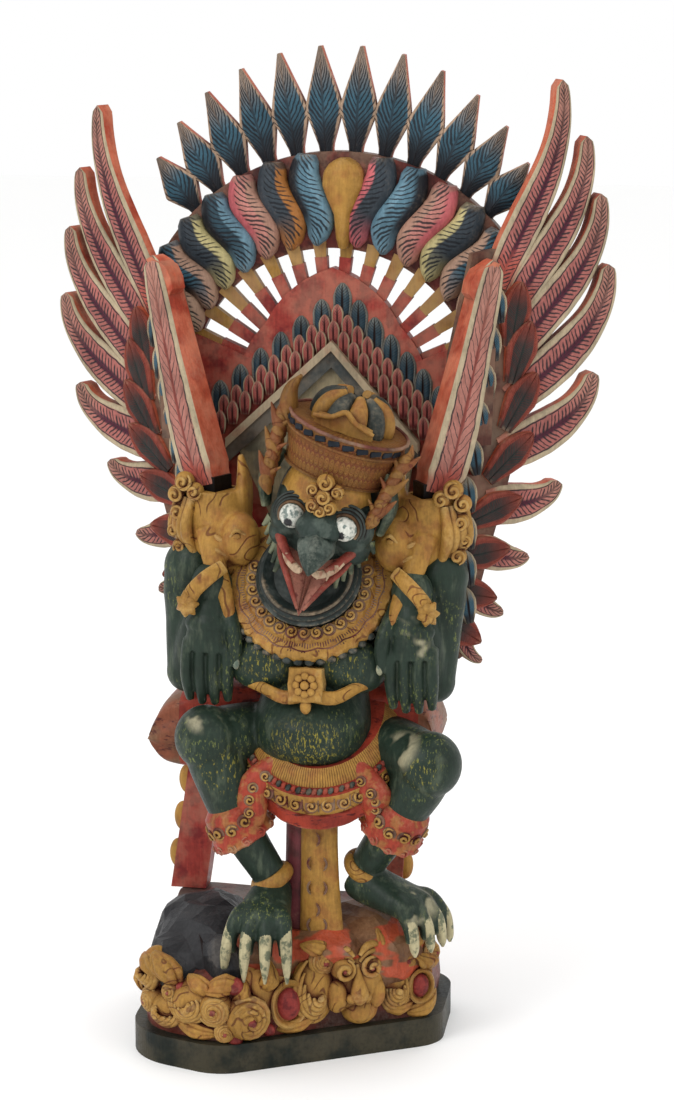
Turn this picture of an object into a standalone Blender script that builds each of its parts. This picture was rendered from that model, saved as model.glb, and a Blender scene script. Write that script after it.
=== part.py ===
"""A painted wooden garuda: a carved figure on a rocky base, two plugged-in wings and a standing tail fan."""

import math

import bmesh
import bpy
from mathutils import Euler, Matrix, Vector

# Driving dimensions, in metres
HEIGHT = 0.880
BOARD_HEIGHT = 0.026
TENON_WIDTH = 0.018
TENON_DEPTH = 0.024
TENON_LENGTH = 0.034
SOCKET_CLEARANCE = 0.0008
SEAT_GAP = 0.0005
FEATHER_THICKNESS = 0.013
LEAD_DEPTH = 0.028
LEAD_WIDTH = 0.028
FAN_THICKNESS = 0.012
POST_DEPTH = 0.022
POST_WIDTH = 0.033
SPOKE_WIDTH = 0.009

# The carver's unit: every place and free form below is laid out in these, a millimetre each at the real height
LAYOUT_HEIGHT = 880
LAYOUT_BOARD = 26
UNIT = HEIGHT / LAYOUT_HEIGHT

# How many times each carved form repeats
CURLS = 15
RAYS = 12
SPOKES = 14
BAND_FEATHERS_A_SIDE = 7
BAND_STEPS = 18
FIELD_STEPS = 12
SCALES_A_ROW_SIDE = 6

# Share of each solid's facets that stays once the finest are merged
FIGURE_KEEP, WING_KEEP, FAN_KEEP = 0.35, 0.7, 0.49
# Faces that meet more steeply than this show a corner
SHARP_ANGLE = math.radians(40)

# Corners of the base's outline in plan: x, y and the radius that rounds each one
BASE_CORNERS = (
    (-160, -92, 60),
    (-72, -124, 44),
    (109, -12, 34),
    (104, 112, 44),
    (-168, 116, 34),
)
# The rock above the board: how far it is drawn in at each height, and the ledge that the fan's posts stand on
POST_FOOT = 103
ROCK_PROFILE = ((10, 24), (6, 38), (6, 72), (11, 92), (18, POST_FOOT))
# The share of the outline's length that the carved curls run along, from the left side round the front
CURLS_TO = 0.5

# The head's middle, its turn, and how far out the shoulder sockets stand
HEAD = Vector((11, -48, 487))
HEAD_TURN = Euler((math.radians(4), math.radians(12), math.radians(-3)))
SOCKET = Vector((94, -12, 500))

# Each wing: side, sweep back and lean outwards in degrees, how much lower its tall feathers reach, and its rise
WINGS = {"wing_left": (-1, 27, 1.8, 0.36, 13), "wing_right": (1, 31, 0, 0, 0)}
# The tallest feather keeps this share of what a squat wing loses elsewhere
SQUAT_EASED = 0.72
PLANK_BEHIND_LEAD = 4
# Root and tip of each long feather from the socket's mouth, its slopes at both in degrees, and half its width
WING_FEATHERS = (
    ((74, 190), (126, 353), 66, 98, 15.5),
    ((86, 162), (150, 304), 60, 98, 17),
    ((93, 128), (164, 254), 52, 98, 18),
    ((95, 84), (173, 192), 38, 94, 19.5),
    ((88, 34), (159, 98), 22, 88, 19.5),
    ((74, -16), (127, 3), 0, 74, 18),
    ((62, -56), (98, -60), -14, 50, 15),
    ((50, -94), (76, -110), -34, 22, 12),
    ((38, -126), (56, -153), -56, 2, 9),
)
FEATHER_WIDTHS = (0.8, 0.98, 1.0, 0.9, 0.72, 0.56, 0.34)
# A dark scale over a feather's root: shares of its length and half widths there
SCALE_WIDTHS = ((-0.65, 9), (-0.15, 15), (0.42, 4))
# The leading feather, from its foot up: height, way out, and shares of its width and depth
LEAD_STATIONS = (
    (4, 3, 0.8, 0.9),
    (20, 13, 1.3, 1.0),
    (60, 25, 1.25, 1.0),
    (120, 39, 1.0, 0.95),
    (172, 51, 0.85, 0.85),
    (194, 56, 0.7, 0.75),
    (202, 58, 0.4, 0.5),
)
PLANK_OUTLINE = (
    (26, 120),
    (46, 206),
    (74, 210),
    (94, 160),
    (100, 96),
    (92, 44),
    (78, -10),
    (66, -50),
    (54, -94),
    (46, -146),
    (36, -152),
    (32, 2),
    (14, 8),
)
RIB_OUTLINE = ((30, 40), (50, 188), (66, 188), (60, 40))

# The fan stands just behind the swept wings, so its face moves back with their depth
FAN_Y = 50 + (LEAD_DEPTH / 2 + FEATHER_THICKNESS) / UNIT
FAN_BACK = FAN_Y - SEAT_GAP / UNIT
ARCH_CENTRE = Vector((0, 601))
ARCH_RADIUS = 186
RIM_CENTRE = Vector((-5, 572))
RIM_RADIUS = 130
BAND_REACH = 73
RAY_STEP, RAY_LENGTH, RAY_SHRINK = 8.1, 92, 36
SPOKE_STEP = 10.4
GABLE_TOP = (-4, 622)
# Where each of the two posts below the fan stands and where it meets the board
POSTS = ((-142, -118), (41, 52))


def at(x, y, z):
    """A point of the layout, in metres. What stands above the board rises with the board's own height."""
    return Vector((x * UNIT, y * UNIT, BOARD_HEIGHT + (z - LAYOUT_BOARD) * UNIT))


def clear_scene():
    for obj in list(bpy.data.objects):
        bpy.data.objects.remove(obj)


def material(name, colour, roughness=0.6, metallic=0.0):
    made = bpy.data.materials.new(name)
    made.use_nodes = True
    shader = made.node_tree.nodes["Principled BSDF"]
    shader.inputs["Base Color"].default_value = (*colour, 1.0)
    shader.inputs["Roughness"].default_value = roughness
    shader.inputs["Metallic"].default_value = metallic
    return made


def finish_mesh(bm):
    """The form as a mesh of triangles, its round faces shaded smooth and its corners left sharp."""
    bmesh.ops.recalc_face_normals(bm, faces=bm.faces)
    bmesh.ops.triangulate(bm, faces=[f for f in bm.faces if len(f.verts) > 3])
    mesh = bpy.data.meshes.new("form")
    bm.to_mesh(mesh)
    bm.free()
    mesh.shade_smooth()
    mesh.set_sharp_from_angle(angle=SHARP_ANGLE)
    return mesh


def loft(rings):
    """A closed form through rings of points, each end closed by a fan round its middle."""
    bm = bmesh.new()
    rows = [[bm.verts.new(p) for p in ring] for ring in rings]
    for low, high in zip(rows, rows[1:]):
        for i in range(len(low)):
            j = (i + 1) % len(low)
            bm.faces.new((low[i], low[j], high[j], high[i]))
    for row in (rows[0], rows[-1]):
        middle = bm.verts.new(sum((v.co for v in row), Vector()) / len(row))
        for i in range(len(row)):
            bm.faces.new((row[i], row[(i + 1) % len(row)], middle))
    return finish_mesh(bm)


def turns(sides, phase=0.0):
    return [2 * math.pi * (k + phase) / sides for k in range(sides)]


def oval_stack(middle_x, stations, sides):
    """A form through level ovals: stations are (height, x beside middle_x, y, half width, half depth)."""
    rings = []
    for z, x, y, across, through in stations:
        x += middle_x
        rings.append([at(x + across * math.cos(t), y + through * math.sin(t), z) for t in turns(sides)])
    return loft(rings)


def tube(path, radii, sides=8, across=(1, 0, 0)):
    """A limb or moulding of oval section: radii are (across, through) pairs, one for each point of the path."""
    path = [at(*p) for p in path]
    rings = []
    for i, (centre, (wide, thick)) in enumerate(zip(path, radii)):
        ahead = (path[min(i + 1, len(path) - 1)] - path[max(i - 1, 0)]).normalized()
        side = Vector(across)
        side = (side - ahead * side.dot(ahead)).normalized()
        through = ahead.cross(side)
        a, b = wide * UNIT, thick * UNIT
        rings.append([centre + side * a * math.cos(t) + through * b * math.sin(t) for t in turns(sides, 0.5)])
    return loft(rings)


def disc(centre, facing, stations, sides):
    """A round moulding: stations are (height along the way it faces, radius)."""
    turn = Vector(facing).to_track_quat("Z", "Y").to_matrix()
    rings = []
    for height, radius in stations:
        flat = [Vector((radius * math.cos(t), radius * math.sin(t), height)) for t in turns(sides)]
        rings.append([at(*(Vector(centre) + turn @ p)) for p in flat])
    return loft(rings)


def ball(centre, radii, turn=None, detail=2):
    bm = bmesh.new()
    bmesh.ops.create_icosphere(bm, subdivisions=detail, radius=1)
    spin = (turn or Euler((0, 0, 0))).to_matrix().to_4x4()
    size = Matrix.Diagonal((*[r * UNIT for r in radii], 1))
    bmesh.ops.transform(bm, matrix=Matrix.Translation(at(*centre)) @ spin @ size, verts=bm.verts)
    return finish_mesh(bm)


def box(centre, size, turn):
    bm = bmesh.new()
    bmesh.ops.create_cube(bm, size=1)
    stretch = Matrix.Diagonal((*size, 1))
    bmesh.ops.transform(bm, matrix=Matrix.Translation(centre) @ turn.to_4x4() @ stretch, verts=bm.verts)
    return finish_mesh(bm)


def slab(outline, front, back, place):
    """A flat outline cut right through from front to back."""
    bm = bmesh.new()
    near = [bm.verts.new(place(u, v, front)) for u, v in outline]
    far = [bm.verts.new(place(u, v, back)) for u, v in outline]
    bm.faces.new(near)
    bm.faces.new(far[::-1])
    for i in range(len(near)):
        j = (i + 1) % len(near)
        bm.faces.new((near[i], far[i], far[j], near[j]))
    return finish_mesh(bm)


def ridged_leaf(stations, front, ridge, back, place):
    """A leaf with a ridge along it: stations are (middle, the way across, half width) from root to tip."""
    rings = []
    for middle, across, half in stations:
        left, right = middle + across * half, middle - across * half
        row = ((left, back), (left, front), (middle, ridge), (right, front), (right, back))
        rings.append([place(p.x, p.y, w) for p, w in row])
    return loft(rings)


def straight_leaf(root, ahead, length, widths, front, ridge, back, place):
    """A ridged leaf along a straight line: widths are (share of its length, half width)."""
    across = Vector((-ahead.y, ahead.x))
    stations = [(root + ahead * length * share, across, half) for share, half in widths]
    return ridged_leaf(stations, front, ridge, back, place)


def direction(degrees):
    return Vector((math.cos(math.radians(degrees)), math.sin(math.radians(degrees))))


class Carving:
    """One solid made by joining overlapping forms, cutting pockets, then merging the finest facets."""

    def __init__(self, name, look, keep, solver="EXACT"):
        self.name = name
        self.look = look
        self.keep = keep
        self.solver = solver
        self.forms = []
        self.cuts = []

    def add(self, *meshes):
        self.forms += meshes

    def cut(self, mesh):
        self.cuts.append(mesh)

    def build(self):
        solid = bpy.data.objects.new(self.name, self.forms[0])
        bpy.context.scene.collection.objects.link(solid)
        solid.data.materials.append(self.look)
        self.join(solid, "form", self.forms[1:], "UNION")
        if self.cuts:
            self.join(solid, "cut", self.cuts, "DIFFERENCE")
        merge = solid.modifiers.new("merged_facets", "DECIMATE")
        merge.ratio = self.keep
        return solid

    def join(self, solid, label, meshes, operation):
        home = bpy.data.collections.new(f"{self.name}_{label}s")
        home.hide_render = True
        bpy.context.scene.collection.children.link(home)
        for number, mesh in enumerate(meshes):
            helper = bpy.data.objects.new(f"{self.name}_{label}_{number}", mesh)
            helper.hide_render = True
            helper.display_type = "WIRE"
            home.objects.link(helper)
        boolean = solid.modifiers.new(label, "BOOLEAN")
        boolean.operation = operation
        boolean.operand_type = "COLLECTION"
        boolean.collection = home
        boolean.solver = self.solver


def rounded_outline(corners, steps=5):
    """The corners of an outline, each replaced by an arc of its own radius."""
    found = []
    for i, (x, y, radius) in enumerate(corners):
        here = Vector((x, y))
        to_last = (Vector(corners[i - 1][:2]) - here).normalized()
        to_next = (Vector(corners[(i + 1) % len(corners)][:2]) - here).normalized()
        half = to_last.angle(to_next) / 2
        centre = here + (to_last + to_next).normalized() * radius / math.sin(half)
        first = here + to_last * radius / math.tan(half) - centre
        last = here + to_next * radius / math.tan(half) - centre
        sweep = first.angle_signed(last)
        for k in range(steps + 1):
            found.append(centre + Matrix.Rotation(-sweep * k / steps, 2) @ first)
    return found


def along(outline, share):
    """The point that far round an outline, as a share of its length, and the way that faces out of it there."""
    lengths = [(outline[(i + 1) % len(outline)] - p).length for i, p in enumerate(outline)]
    left = share * sum(lengths)
    i = 0
    while left > lengths[i]:
        left -= lengths[i]
        i += 1
    ahead = (outline[(i + 1) % len(outline)] - outline[i]).normalized()
    return outline[i] + ahead * left, Vector((ahead.y, -ahead.x, 0))


def carve_base(figure):
    outline = rounded_outline(BASE_CORNERS)
    figure.add(loft([[Vector((p.x * UNIT, p.y * UNIT, z)) for p in outline] for z in (0, BOARD_HEIGHT)]))
    middle = sum(outline, Vector((0, 0))) / len(outline)
    rings = []
    for inset, height in ROCK_PROFILE:
        drawn_in = [p + (middle - p).normalized() * inset for p in outline]
        rings.append([at(p.x, p.y, height) for p in drawn_in])
    figure.add(loft(rings))
    # The dark boulder at the left, then the red and brown rock at the middle and right
    figure.add(ball((-100, -16, 84), (54, 62, 50), Euler((0.1, 0.1, 0.5))))
    figure.add(ball((-50, -48, 86), (48, 44, 42), Euler((0.2, 0, 0.3))))
    figure.add(ball((40, 0, 86), (64, 58, 44), Euler((0, 0.06, 0.3))))
    figure.add(ball((-30, 24, 88), (104, 42, 34)))
    # Curled leaves and shells round the front, in two staggered rows
    for k in range(CURLS):
        place, outwards = along(outline, CURLS_TO * k / (CURLS - 1))
        height, size = (49, 24) if k % 2 else (77, 26)
        centre = Vector((place.x, place.y, height)) - outwards * 8
        figure.add(disc(centre, outwards, [(d, size * s) for d, s in CURL_STATIONS], 7))


# A curl: a low drum whose rim rises round a knob, as depths and shares of its size
CURL_STATIONS = ((-16, 0.9), (4, 1.0), (10, 0.72), (6, 0.46), (13, 0.3))


def carve_leg(figure, hip, knee, shin, ankle):
    hip, knee, shin, ankle = Vector(hip), Vector(knee), Vector(shin), Vector(ankle)
    ahead = (ankle - shin).normalized()
    figure.add(tube([hip, knee], [(27, 27), (27, 26)]))
    figure.add(ball(knee, (28, 28, 29)))
    figure.add(tube([knee, shin, ankle], [(25, 25), (20, 20), (16, 16)]))
    # The curled cuff below the calf and the ring at the ankle
    figure.add(tube([shin + ahead * t for t in (-16, -3, 10)], [(24, 26), (33, 32), (25, 26)], 10))
    figure.add(tube([ankle + ahead * t for t in (-6, 0, 6)], [(19, 19), (22, 21), (19, 19)], 10))


def carve_foot(figure, ankle, toes, claw_tip, across):
    """A bird's foot: the instep, four toes side by side and a long claw on each."""
    ankle = Vector(ankle)
    toes = [Vector(toe) for toe in toes]
    middle = sum(toes, Vector()) / len(toes)
    heel = ankle + (ankle - middle) * 0.25 - Vector((0, 0, 16))
    instep = ankle - Vector((0, 0, 14))
    figure.add(tube([heel, instep, middle], [(15, 12), (18, 19), (29, 13)], 10, across))
    for toe in toes:
        ahead = (toe - ankle).normalized()
        nail = toe + ahead * 9 - Vector((0, 0, 4))
        figure.add(tube([toe - ahead * 14, toe, nail], [(8, 8), (8.5, 8.5), (7, 7)], 6, across))
        reach, drop = claw_tip
        claw = [
            toe + ahead * 5 + Vector((0, 0, 3)),
            toe + ahead * 14 - Vector((0, 0, 12)),
            toe + ahead * reach - Vector((0, 0, drop)),
        ]
        figure.add(tube(claw, [(6.5, 5), (5.5, 5), (2, 2)], 6, across))


def carve_legs(figure):
    carve_leg(figure, (-34, 8, 278), (-93, -62, 288), (-66, -54, 208), (-38, -46, 158))
    carve_leg(figure, (40, 8, 276), (104, -58, 272), (72, -44, 214), (42, -26, 166))
    left_toes = [(-62, -84, 128), (-48, -90, 129), (-34, -92, 129), (-20, -90, 129)]
    right_toes = [(80, -52, 134), (90, -42, 134), (97, -30, 134), (101, -17, 133)]
    carve_foot(figure, (-38, -46, 158), left_toes, (20, 36), (1, 0, 0))
    carve_foot(figure, (42, -26, 166), right_toes, (18, 26), (-0.5, -1, 0))


def front_place(x, z, y):
    return at(x, y, z)


def carve_skirt(figure):
    stations = (
        (212, 0, -34, 34, 38),
        (228, 0, -28, 58, 46),
        (256, 0, -24, 72, 52),
        (284, 0, -16, 76, 56),
        (306, 0, -10, 60, 52),
    )
    figure.add(oval_stack(4, stations, 16))
    # The sash that hangs to the rock between the legs, and the lining beside it
    figure.add(tube([(3, -36, 222), (3, -38, 170), (4, -42, 106)], [(21, 9), (21, 9), (26, 10)], 6))
    figure.add(tube([(-16, -24, 222), (-18, -26, 160), (-18, -28, 106)], [(17, 12), (16, 12), (18, 12)], 6))
    # Cloth that flares out over each hip and reaches back to the fan's board
    left = [(-40, 330), (-100, 320), (-142, 304), (-156, 272), (-140, 246), (-108, 240), (-50, 262)]
    right = [(44, 330), (80, 322), (96, 306), (100, 278), (90, 256), (46, 268)]
    figure.add(slab(left, -18, FAN_BACK, front_place), slab(right, -18, FAN_BACK, front_place))
    # The block on the back that carries the fan's board
    figure.add(slab([(-44, 300), (36, 300), (36, 396), (-44, 396)], 20, FAN_BACK, front_place))


def carve_torso(figure):
    stations = (
        (262, 0, -20, 48, 42),
        (280, 0, -26, 52, 54),
        (304, 0, -28, 52, 58),
        (330, 0, -16, 47, 45),
        (352, 0, -14, 60, 44),
        (385, 0, -8, 78, 44),
        (420, 0, 2, 80, 38),
        (446, 0, 6, 52, 32),
        (462, 0, 6, 34, 28),
    )
    figure.add(oval_stack(-4, stations, 16))
    for side in (-1, 1):
        figure.add(ball((-5 + side * 38, -48, 358), (34, 19, 27), Euler((0, side * 0.25, 0))))
    # The collar and, in it, the ring round the neck
    slant = Vector((0, -math.cos(math.radians(34)), math.sin(math.radians(34))))
    figure.add(disc((-4, -34, 422), slant, ((-10, 64), (6, 70), (12, 66)), 20))
    figure.add(disc((-4, -42, 428), slant, ((-8, 44), (10, 46), (16, 41), (12, 30)), 16))
    # The strap below the breast and its flower
    strap = [(-60, -40, 350), (-46, -60, 338), (-24, -68, 333), (0, -70, 336), (22, -68, 334), (42, -60, 342)]
    strap.append((54, -42, 358))
    figure.add(tube(strap, [(7, 4)] * len(strap), 6, (0, 0, 1)))
    figure.add(disc((-2, -70, 342), (0, -1, 0.15), ((-12, 17), (9, 18), (14, 9)), 8))


def carve_arm(figure, side):
    shoulder = Vector((side * 110 - 4, -18, 430))
    elbow = Vector((side * 111 - 9, -17, 336))
    wrist = Vector((side * 88 - 2, -46, 420))
    knuckles = Vector((side * 90 - 2, -58, 366))
    forearm = (elbow + wrist) / 2 + Vector((0, -4, 0))
    palm = (wrist + knuckles) / 2 + Vector((0, -6, 0))
    figure.add(ball(shoulder, (25, 23, 27)), ball(elbow, (18, 17, 19)), ball(wrist, (17, 16, 17)))
    figure.add(tube([(side * 62, -4, 424), shoulder, elbow], [(22, 22), (21, 19), (18, 16)]))
    figure.add(tube([elbow, forearm, wrist], [(16, 16), (17, 15), (15, 14)]))
    figure.add(tube([wrist, palm, knuckles], [(15, 12), (17, 11), (20, 11)]))
    for k in range(4):
        beside = k - 1.5
        root = knuckles + Vector((beside * 10.2, 3, 2))
        bend = root + Vector((beside * 0.6, -5, -26))
        tip = root + Vector((beside * -0.2, 2, -52))
        figure.add(tube([root, bend, tip], [(6.2, 7), (6, 6.5), (4, 4.5)], 6))
    thumb = [
        wrist + Vector((-side * 12, -2, -14)),
        knuckles + Vector((-side * 22, -2, 12)),
        knuckles + Vector((-side * 21, -2, -12)),
    ]
    figure.add(tube(thumb, [(7, 7), (7, 7), (5, 5)], 6))
    # The bracelet slants over the wrist
    bracelet = wrist + Vector((side * 12, 2, 0))
    figure.add(disc(bracelet, (side * 0.8, -0.5, 0.35), ((-5, 19), (0, 22), (5, 19)), 10))


def carve_socket(figure, side):
    """The gold sea beast's head at each shoulder that a wing's tenon stands in."""
    x = side * SOCKET.x
    stations = (
        (424, -14 * side, -14, 12, 16),
        (450, -10 * side, -18, 29, 25),
        (474, -4 * side, -16, 33, 25),
        (SOCKET.z, 0, -13, 30, 23),
    )
    figure.add(oval_stack(x, stations, 12))
    # The snout, the curls on the outside, the ear at the inside and the strip that hangs over the breast
    figure.add(ball((x - side * 26, -32, 464), (19, 20, 22)))
    for k in range(3):
        figure.add(ball((x + side * 25, -26 + 3 * k, 462 + 14 * k), (9, 10, 13)))
    ear = [(x - side * 24, -12, 484), (x - side * 25, -10, 508), (x - side * 22, -6, 524)]
    figure.add(tube(ear, [(8, 17), (7, 15), (4, 8)], 6))
    strip = [
        (x + side * 6, -36, 462),
        (x - side * 6, -50, 436),
        (x - side * 20, -60, 408),
        (x - side * 26, -62, 374),
    ]
    figure.add(tube(strip, [(9, 7), (11, 6), (7, 6), (4, 4)], 6))


def head_point(x, y, z):
    """A point of the head's own layout, before its tilt."""
    return HEAD + HEAD_TURN.to_matrix() @ Vector((x, y, z))


def head_tube(path, radii, sides=6):
    across = HEAD_TURN.to_matrix() @ Vector((1, 0, 0))
    return tube([head_point(*p) for p in path], radii, sides, across)


def carve_head(figure):
    figure.add(tube([(0, -10, 440), head_point(0, 4, -10)], [(34, 30), (32, 30)], 10))
    figure.add(ball(head_point(0, 0, 6), (46, 42, 54), HEAD_TURN, 3))
    for side in (-1, 1):
        # The socket and the bulging eye, the ear, and the upright behind it at the crown's side
        figure.add(ball(head_point(side * 24, -33, 1), (16, 14, 16), HEAD_TURN))
        figure.add(ball(head_point(side * 24, -41, 1), (10.5, 10.5, 10.5), HEAD_TURN))
        ear = [(side * 48, 2, 44), (side * 53, 0, 16), (side * 49, -4, -10)]
        figure.add(head_tube(ear, [(6, 13), (8, 17), (4, 8)]))
        upright = [(side * 44, -14, 34), (side * 53, -10, 64), (side * 56, -4, 96)]
        figure.add(head_tube(upright, [(8, 14), (8, 18), (4, 8)]))
    # The hooked upper beak and the open lower jaw
    beak = [(0, -26, 0), (0, -50, -4), (0, -66, -16), (2, -74, -36)]
    jaw = [(0, -12, -30), (0, -34, -42), (0, -50, -58), (0, -60, -76)]
    figure.add(head_tube(beak, [(22, 20), (21, 16), (15, 12), (3, 4)], 8))
    figure.add(head_tube(jaw, [(40, 12), (30, 9), (16, 7), (3, 3)], 8))
    # The crown's flaring band, and the lobed bun above it
    rings = []
    for z, across, through in ((38, 44, 40), (44, 48, 45), (72, 51, 47), (80, 53, 49), (82, 42, 38)):
        rings.append([at(*head_point(across * math.cos(t), 2 + through * math.sin(t), z)) for t in turns(16)])
    figure.add(loft(rings))
    figure.add(ball(head_point(0, 6, 76), (36, 32, 34), HEAD_TURN))
    for t in turns(6):
        lobe = [(26 * math.sin(t), 8 - 24 * math.cos(t), z) for z in (78, 92)]
        lobe.append((17 * math.sin(t), 8 - 14 * math.cos(t), 108))
        figure.add(head_tube(lobe, [(12, 10), (13, 10), (6, 6)]))


def carve_figure(look):
    figure = Carving("figure", look, FIGURE_KEEP, "MANIFOLD")
    carve_base(figure)
    carve_legs(figure)
    carve_skirt(figure)
    carve_torso(figure)
    carve_head(figure)
    for side in (-1, 1):
        carve_arm(figure, side)
        carve_socket(figure, side)
    for side, sweep, lean, _, _ in WINGS.values():
        figure.cut(socket_pocket(side, sweep, lean))
    return figure.build()


def wing_seat(side, sweep, lean):
    """How a wing is turned, and the middle of its socket's mouth."""
    swept = Matrix.Rotation(math.radians(side * sweep), 3, "Z")
    leaning = Matrix.Rotation(math.radians(side * lean), 3, "Y")
    return swept @ leaning, at(side * SOCKET.x, SOCKET.y, SOCKET.z)


def socket_pocket(side, sweep, lean):
    turn, mouth = wing_seat(side, sweep, lean)
    room = 2 * SOCKET_CLEARANCE
    return box(mouth, (TENON_WIDTH + room, TENON_DEPTH + room, 2 * TENON_LENGTH), turn)


def squatter(point, squat, rise):
    """A point of the wing's layout, lower on a squat wing and less so near its tallest tips."""
    u, v = point
    if v > 0:
        tallest = WING_FEATHERS[0][1][1]
        v *= 1 - squat * (1 - SQUAT_EASED * v / tallest)
    return Vector((u, v + rise))


def bezier(a, b, c, d, t):
    s = 1 - t
    return a * s**3 + b * 3 * s * s * t + c * 3 * s * t * t + d * t**3


def feather_stations(root, tip, leave, arrive, half_width):
    """The middle, the way across and half the width along a feather that sweeps up from root to tip."""
    start = root - direction(leave) * 14
    reach = (tip - root).length
    a, b = start + direction(leave) * reach * 0.45, tip - direction(arrive) * reach * 0.42
    stations = []
    for k, share in enumerate(FEATHER_WIDTHS):
        t = k / (len(FEATHER_WIDTHS) - 1)
        ahead = bezier(start, a, b, tip, min(t + 0.02, 1)) - bezier(start, a, b, tip, max(t - 0.02, 0))
        across = Vector((-ahead.y, ahead.x)).normalized()
        stations.append((bezier(start, a, b, tip, t), across, half_width * share))
    return stations


def carve_wing(name, look):
    side, sweep, lean, squat, rise = WINGS[name]
    turn, mouth = wing_seat(side, sweep, lean)

    def place(u, v, w):
        """Outwards, up and forwards on the wing, as a point of the object."""
        return mouth + turn @ Vector((side * u * UNIT, -w * UNIT, v * UNIT))

    wing = Carving(name, look, WING_KEEP)
    # The leading feather is a post that leans out above the tenon
    rings = []
    for v, u, wide, thick in LEAD_STATIONS:
        a, b = LEAD_WIDTH / UNIT / 2 * wide, LEAD_DEPTH / UNIT / 2 * thick
        rings.append([place(u + p, v, w) for p, w in ((-a, -b), (a, -b), (a, b), (-a, b))])
    wing.add(loft(rings))
    bottom, top = -(TENON_LENGTH - SEAT_GAP), 12 * UNIT
    tenon_middle = mouth + turn @ Vector((0, 0, (bottom + top) / 2))
    wing.add(box(tenon_middle, (TENON_WIDTH, TENON_DEPTH, top - bottom), turn))
    # The plank behind it, with a rib where the leading feather backs onto it
    front = PLANK_BEHIND_LEAD - LEAD_DEPTH / UNIT / 2
    back = front - FEATHER_THICKNESS / UNIT
    plank = [squatter(p, squat, rise) for p in PLANK_OUTLINE]
    wing.add(slab(plank, front - 3, back + 2, place), slab(RIB_OUTLINE, front + 8, back + 4, place))
    for number, (root, tip, leave, arrive, half_width) in enumerate(WING_FEATHERS):
        ends = squatter(root, squat, rise), squatter(tip, squat, rise)
        stations = feather_stations(*ends, leave, arrive, half_width)
        lift = 0.6 if number % 2 else 0
        wing.add(ridged_leaf(stations, front - 2 - lift, front + 1 - lift, back - lift, place))
    # A dark scale covers the root of each long feather
    depths = (front + 1, front + 5, front - 6)
    for root, tip, leave, arrive, half_width in WING_FEATHERS[1:]:
        ahead = direction(leave + 22)
        wing.add(straight_leaf(squatter(root, squat, rise), ahead, 38, SCALE_WIDTHS, *depths, place))
    return wing.build()


def fan_place(u, v, w):
    """Across, up and forwards of the fan's face, as a point of the object."""
    return at(u, FAN_Y - w, v)


def around(centre, radius, degrees):
    """A point of the fan at an angle from upright, positive to the right."""
    return centre + direction(90 - degrees) * radius


def across_band(degrees, share):
    """A point of the arched band, from its outer edge at 0 to its inner edge at 1."""
    return around(ARCH_CENTRE, ARCH_RADIUS, degrees).lerp(around(RIM_CENTRE, RIM_RADIUS, degrees * 1.06), share)


def carve_fan(look):
    fan = Carving("tail_fan", look, FAN_KEEP)
    back = -FAN_THICKNESS / UNIT
    carve_board(fan)
    carve_band(fan, back)
    for k in range(RAYS):
        # One pointed feather of the crest, whose shoulders run into its neighbours'
        degrees = (k - (RAYS - 1) / 2) * RAY_STEP
        length = RAY_LENGTH - RAY_SHRINK * (abs(degrees) / 45) ** 2.2
        widths = ((-0.12, 6), (0.04, 6), (0.4, 17.5), (1, 1.6))
        foot = around(ARCH_CENTRE, ARCH_RADIUS, degrees)
        front = -10.5 if k % 2 else -10
        ahead = direction(90 - degrees * 0.86)
        fan.add(straight_leaf(foot, ahead, length, widths, front, front + 5, front + back, fan_place))
    for k in range(SPOKES):
        degrees = (k - (SPOKES - 1) / 2) * SPOKE_STEP
        ahead = direction(90 - degrees)
        across = Vector((ahead.y, -ahead.x)) * (SPOKE_WIDTH / UNIT / 2)
        outer = around(RIM_CENTRE, RIM_RADIUS + 8, degrees)
        start = around(RIM_CENTRE, field_radius(degrees) - 6, degrees)
        outline = [start - across, outer - across, outer + across, start + across]
        fan.add(slab(outline, 0, back + 2, fan_place))
    carve_gable(fan, back)
    return fan.build()


def carve_band(fan, back):
    """The arched band, thick and crowned, its plump S-shaped feathers and the boss at its top."""
    rings = []
    for k in range(BAND_STEPS + 1):
        degrees = BAND_REACH * (2 * k / BAND_STEPS - 1)
        row = ((0, back - 6), (0, -4), (0.45, 8), (1, 4), (1, back - 2))
        rings.append([fan_place(*across_band(degrees, share), w) for share, w in row])
    fan.add(loft(rings))
    for side in (-1, 1):
        for k in range(BAND_FEATHERS_A_SIDE):
            middle = side * (9.5 + 9.9 * k)
            path, radii = [], []
            for share, swing, half in ((0.03, 1.6, 5), (0.28, 2.8, 9), (0.72, -2.8, 9), (0.97, -1.2, 4)):
                here = across_band(middle + side * swing, share)
                crown = 5 + 5 * math.sin(math.pi * share)
                path.append((here.x, FAN_Y - crown, here.y))
                radii.append((half, 8))
            fan.add(tube(path, radii, 6))
    boss = [(1, FAN_Y - 11, z) for z in (706, 738, 758, 782)]
    fan.add(tube(boss, [(6, 9), (8, 9), (18, 9), (10, 6)], 8))


def field_radius(degrees):
    """How far the field behind the head reaches from the rim's centre: a low arch with a peak."""
    return 86 + 18 * max(0, 1 - abs(degrees) / 40)


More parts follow.
